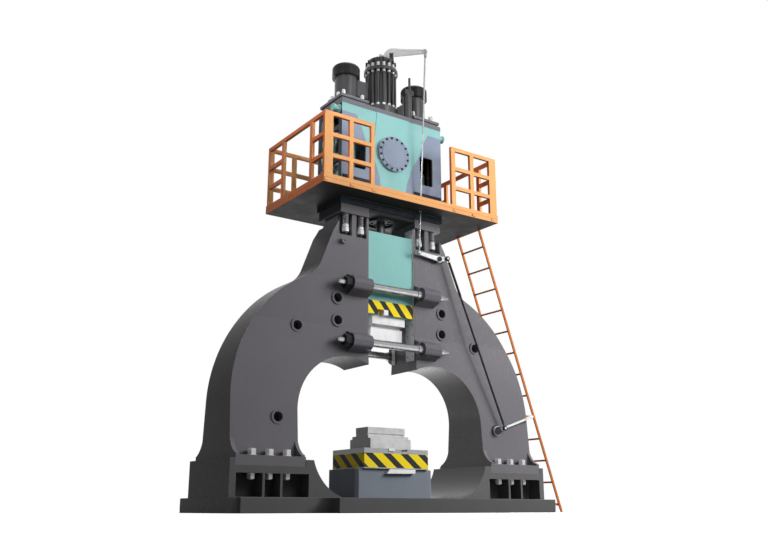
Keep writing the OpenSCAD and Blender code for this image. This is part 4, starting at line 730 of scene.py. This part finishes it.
# Long bars round the valve tower: threaded upper ends and four nuts each
BAR_RING, BAR_COUNT = 0.247, 16
BAR_LOW, BAR_HIGH = 6397, 7406
BASE_TOP, FLANGE_LOW, FLANGE_TOP = 6527, 7184, 7241
BAR_R, BAR_NUT_R, BAR_NUT_H, BAR_PITCH = 20, 27, 38, 8
BARE_END = FLANGE_TOP + 2 * BAR_NUT_H + 2
bars, bar_nuts = bmesh.new(), bmesh.new()
for i in range(BAR_COUNT):
    turn = 2 * math.pi * i / BAR_COUNT
    at = (BAR_RING * math.cos(turn), BAR_RING * math.sin(turn), 0)
    end = thread(BARE_END + 2, BAR_HIGH, BAR_R, BAR_PITCH)
    turned(bars, at, "z", [(BAR_LOW, BAR_R), (BARE_END, BAR_R)] + end)
    turned(bar_nuts, at, "z", hexagon(BASE_TOP, BASE_TOP + 40, BAR_NUT_R))
    turned(bar_nuts, at, "z", hexagon(FLANGE_LOW - 40, FLANGE_LOW, BAR_NUT_R, both=True))
    for low in (FLANGE_TOP, FLANGE_TOP + BAR_NUT_H + 2):
        turned(bar_nuts, at, "z", hexagon(low, low + BAR_NUT_H, BAR_NUT_R, both=True))
make_piece("tower_bars", bars, charcoal_enamel, "stand", ["tower_bolts"])
make_piece("tower_nuts", bar_nuts, zinc_plate, "stand", ["tower_bolts"])

# Collars and locking nuts under the buffer springs
SPRING_X = (0.840, 0.563)
SPRING_Y = 0.2605
LOCK_LOW, LOCK_TOP, LOCK_R = 4156, 4222, 62
COLLAR_LOW, COLLAR_TOP, COLLAR_R = 4228, 4280, 50
collars = bmesh.new()
collar = [
    (COLLAR_LOW, COLLAR_R - 4),
    (COLLAR_LOW + 3, COLLAR_R),
    (COLLAR_TOP - 3, COLLAR_R),
    (COLLAR_TOP, COLLAR_R - 3),
]
for side_x, side_y in CORNERS:
    for spring_x in SPRING_X:
        at = (side_x * spring_x, side_y * SPRING_Y, 0)
        turned(collars, at, "z", collar)
        turned(collars, at, "z", [(LOCK_TOP, 56), (COLLAR_LOW, 56)])
        turned(collars, at, "z", hexagon(LOCK_LOW, LOCK_TOP, LOCK_R, both=True))
make_piece("buffer_lock_nuts", collars, zinc_plate, "stand", ["buffer_nuts"])

# Buffer springs under the head, wound with a closed turn at each end
SPRING_LOW, SPRING_HIGH = 4.2803, 4.4497
SPRING_R, WIRE_R = 0.039, 0.0085
CURLS, END_TURN = 5, 0.8
STEPS_A_TURN = 26


def spring_path(x, y):
    """Points along one spring's wire. Its first and last turns lie nearly flat, as a closed end does."""
    steps = STEPS_A_TURN
    turns = CURLS + 1
    low, high = SPRING_LOW + WIRE_R, SPRING_HIGH - WIRE_R
    points = []
    for i in range(int(turns * steps) + 1):
        turn = i / steps
        share = min(1.0, max(0.0, (turn - END_TURN / 2) / (turns - END_TURN)))
        height = low + (high - low) * share
        angle = 2 * math.pi * turn
        points.append(Vector((x + SPRING_R * math.cos(angle), y + SPRING_R * math.sin(angle), height)))
    return points


springs = bmesh.new()
for side_x, side_y in CORNERS:
    for spring_x in SPRING_X:
        sweep(springs, spring_path(side_x * spring_x, side_y * SPRING_Y), WIRE_R)
make_piece("buffer_coils", springs, spring_steel, "stand", ["buffer_springs"])

# Dark sheet inside the right end of the head, a stand-in for shade: it keeps the head's front window dark
END_X, END_Y, END_Z = (0.942, 0.946), (-0.305, 0.305), (4.690, 6.230)
window_shade_sheet = bmesh.new()
bmesh.ops.create_cube(window_shade_sheet, size=1.0)
for corner in window_shade_sheet.verts:
    corner.co = [ends[c > 0] for ends, c in zip((END_X, END_Y, END_Z), corner.co)]
make_piece("head_window_shade_sheet", window_shade_sheet, cowl_enamel, "stand")


# Floor, lamps and camera


# Strength of the world's light on the machine, and the floor's tone for the light that it throws back
WORLD_LIGHT, FLOOR_TONE = 0.09, 0.2
# The floor's own glow, which rises to white between these distances from the machine's middle
GLOW_NEAR, GLOW_FROM, GLOW_TO = 0.55, 2.5, 6.0


def seen_by_eye(tree):
    """Mask of the rays that reach the eye: straight, in reflections and through glass."""
    rays = add(tree, "LightPath")
    straight, glossy, through = (
        rays.outputs[f"Is {kind} Ray"] for kind in ("Camera", "Glossy", "Transmission")
    )
    seen = add(tree, "Math", {0: straight, 1: glossy}, operation="MAXIMUM")
    return add(tree, "Math", {0: seen.outputs[0], 1: through}, operation="MAXIMUM").outputs[0]


def white_floor():
    """Pale floor: plain white to the camera and in reflections, with the machine's shadow kept on it."""
    mesh = bmesh.new()
    bmesh.ops.create_grid(mesh, x_segments=1, y_segments=1, size=60)
    data = bpy.data.meshes.new("floor")
    mesh.to_mesh(data)
    mesh.free()
    floor = bpy.data.objects.new("floor", data)
    bpy.context.scene.collection.objects.link(floor)
    floor.location.z = -1 * MM
    material, tree, coord = blank("pale_floor")
    seen = seen_by_eye(tree)
    tone = add(
        tree,
        "Mix",
        {SHARE: seen, FIRST: [FLOOR_TONE] * 3 + [1], SECOND: (0.8, 0.8, 0.8, 1)},
        data_type="RGBA",
    )
    cloth = add(tree, "BsdfDiffuse", {"Color": tone.outputs[MIXED]})
    reach = add(tree, "VectorMath", {0: coord.outputs["Object"]}, operation="LENGTH")
    rise = {FROM_LOW: GLOW_FROM, FROM_HIGH: GLOW_TO, TO_LOW: GLOW_NEAR, TO_HIGH: 1.0}
    far = add(tree, "MapRange", {"Value": reach.outputs["Value"], **rise})
    fill = add(tree, "Math", {0: seen, 1: far.outputs[0]}, operation="MULTIPLY")
    glow = add(tree, "Emission", {"Color": (1, 1, 1, 1), "Strength": fill.outputs[0]})
    both = add(tree, "AddShader", {0: cloth.outputs[0], 1: glow.outputs[0]})
    add(tree, "OutputMaterial", {"Surface": both.outputs[0]})
    data.materials.append(material)


def studio_world():
    """White to the camera and in reflections, and a soft low light from all round."""
    world = bpy.data.worlds.new("studio")
    bpy.context.scene.world = world
    world.use_nodes = True
    tree = world.node_tree
    tree.nodes.clear()
    strength = add(tree, "MapRange", {"Value": seen_by_eye(tree), TO_LOW: WORLD_LIGHT, TO_HIGH: 1.0})
    light = add(tree, "Background", {"Color": (1, 1, 1, 1), "Strength": strength.outputs[0]})
    add(tree, "OutputWorld", {"Surface": light.outputs[0]})


def softbox(name, place, target, size, power, spread=180, mirrored=True):
    """Soft lamp. Unless mirrored, it lights the machine without a glint of its own on the enamel."""
    lamp = bpy.data.lights.new(name, "AREA")
    lamp.shape = "RECTANGLE"
    lamp.size, lamp.size_y = size
    lamp.energy = power
    lamp.spread = math.radians(spread)
    holder = bpy.data.objects.new(name, lamp)
    holder.location = place
    holder.rotation_euler = (Vector(target) - Vector(place)).to_track_quat("-Z", "Y").to_euler()
    holder.visible_glossy = mirrored
    bpy.context.scene.collection.objects.link(holder)


white_floor()
studio_world()
# Lamps: name, place and target in metres, size in metres, power in watts, and a spread in degrees where narrow
softbox("key_right", (8.0, -6.5, 7.0), (1.2, 0, 2.6), (5, 5), 1550, mirrored=False)
softbox("top", (0.5, -1.0, 13.0), (0, 0, 4), (8, 5), 350)
softbox("front", (2.5, -12.0, 10.0), (0, 0, 3.4), (6, 5), 480)
softbox("rear_fill", (4.5, 10.0, 8.0), (0, 0, 3.4), (6, 5), 700, mirrored=False)
softbox("platform_side", (-9.0, -5.0, 8.5), (-1.0, 0, 6.0), (1.5, 1.5), 18, 27)

# The camera stands where the photograph was solved to be taken from, low before the left end
CAMERA_PLACE, CAMERA_TILT, CAMERA_HEADING = (-7.555, -10.9025, 0.057), 105.53, -34.96
LENS_MM, SENSOR_MM = 40.27, 36
lens = bpy.data.cameras.new("photo_view")
lens.lens, lens.sensor_width = LENS_MM, SENSOR_MM
lens.clip_start, lens.clip_end = 0.1, 200
camera = bpy.data.objects.new("photo_view", lens)
camera.location = CAMERA_PLACE
camera.rotation_euler = (math.radians(CAMERA_TILT), 0, math.radians(CAMERA_HEADING))
bpy.context.scene.collection.objects.link(camera)
bpy.context.scene.camera = camera
bpy.context.scene.view_settings.view_transform = "Standard"
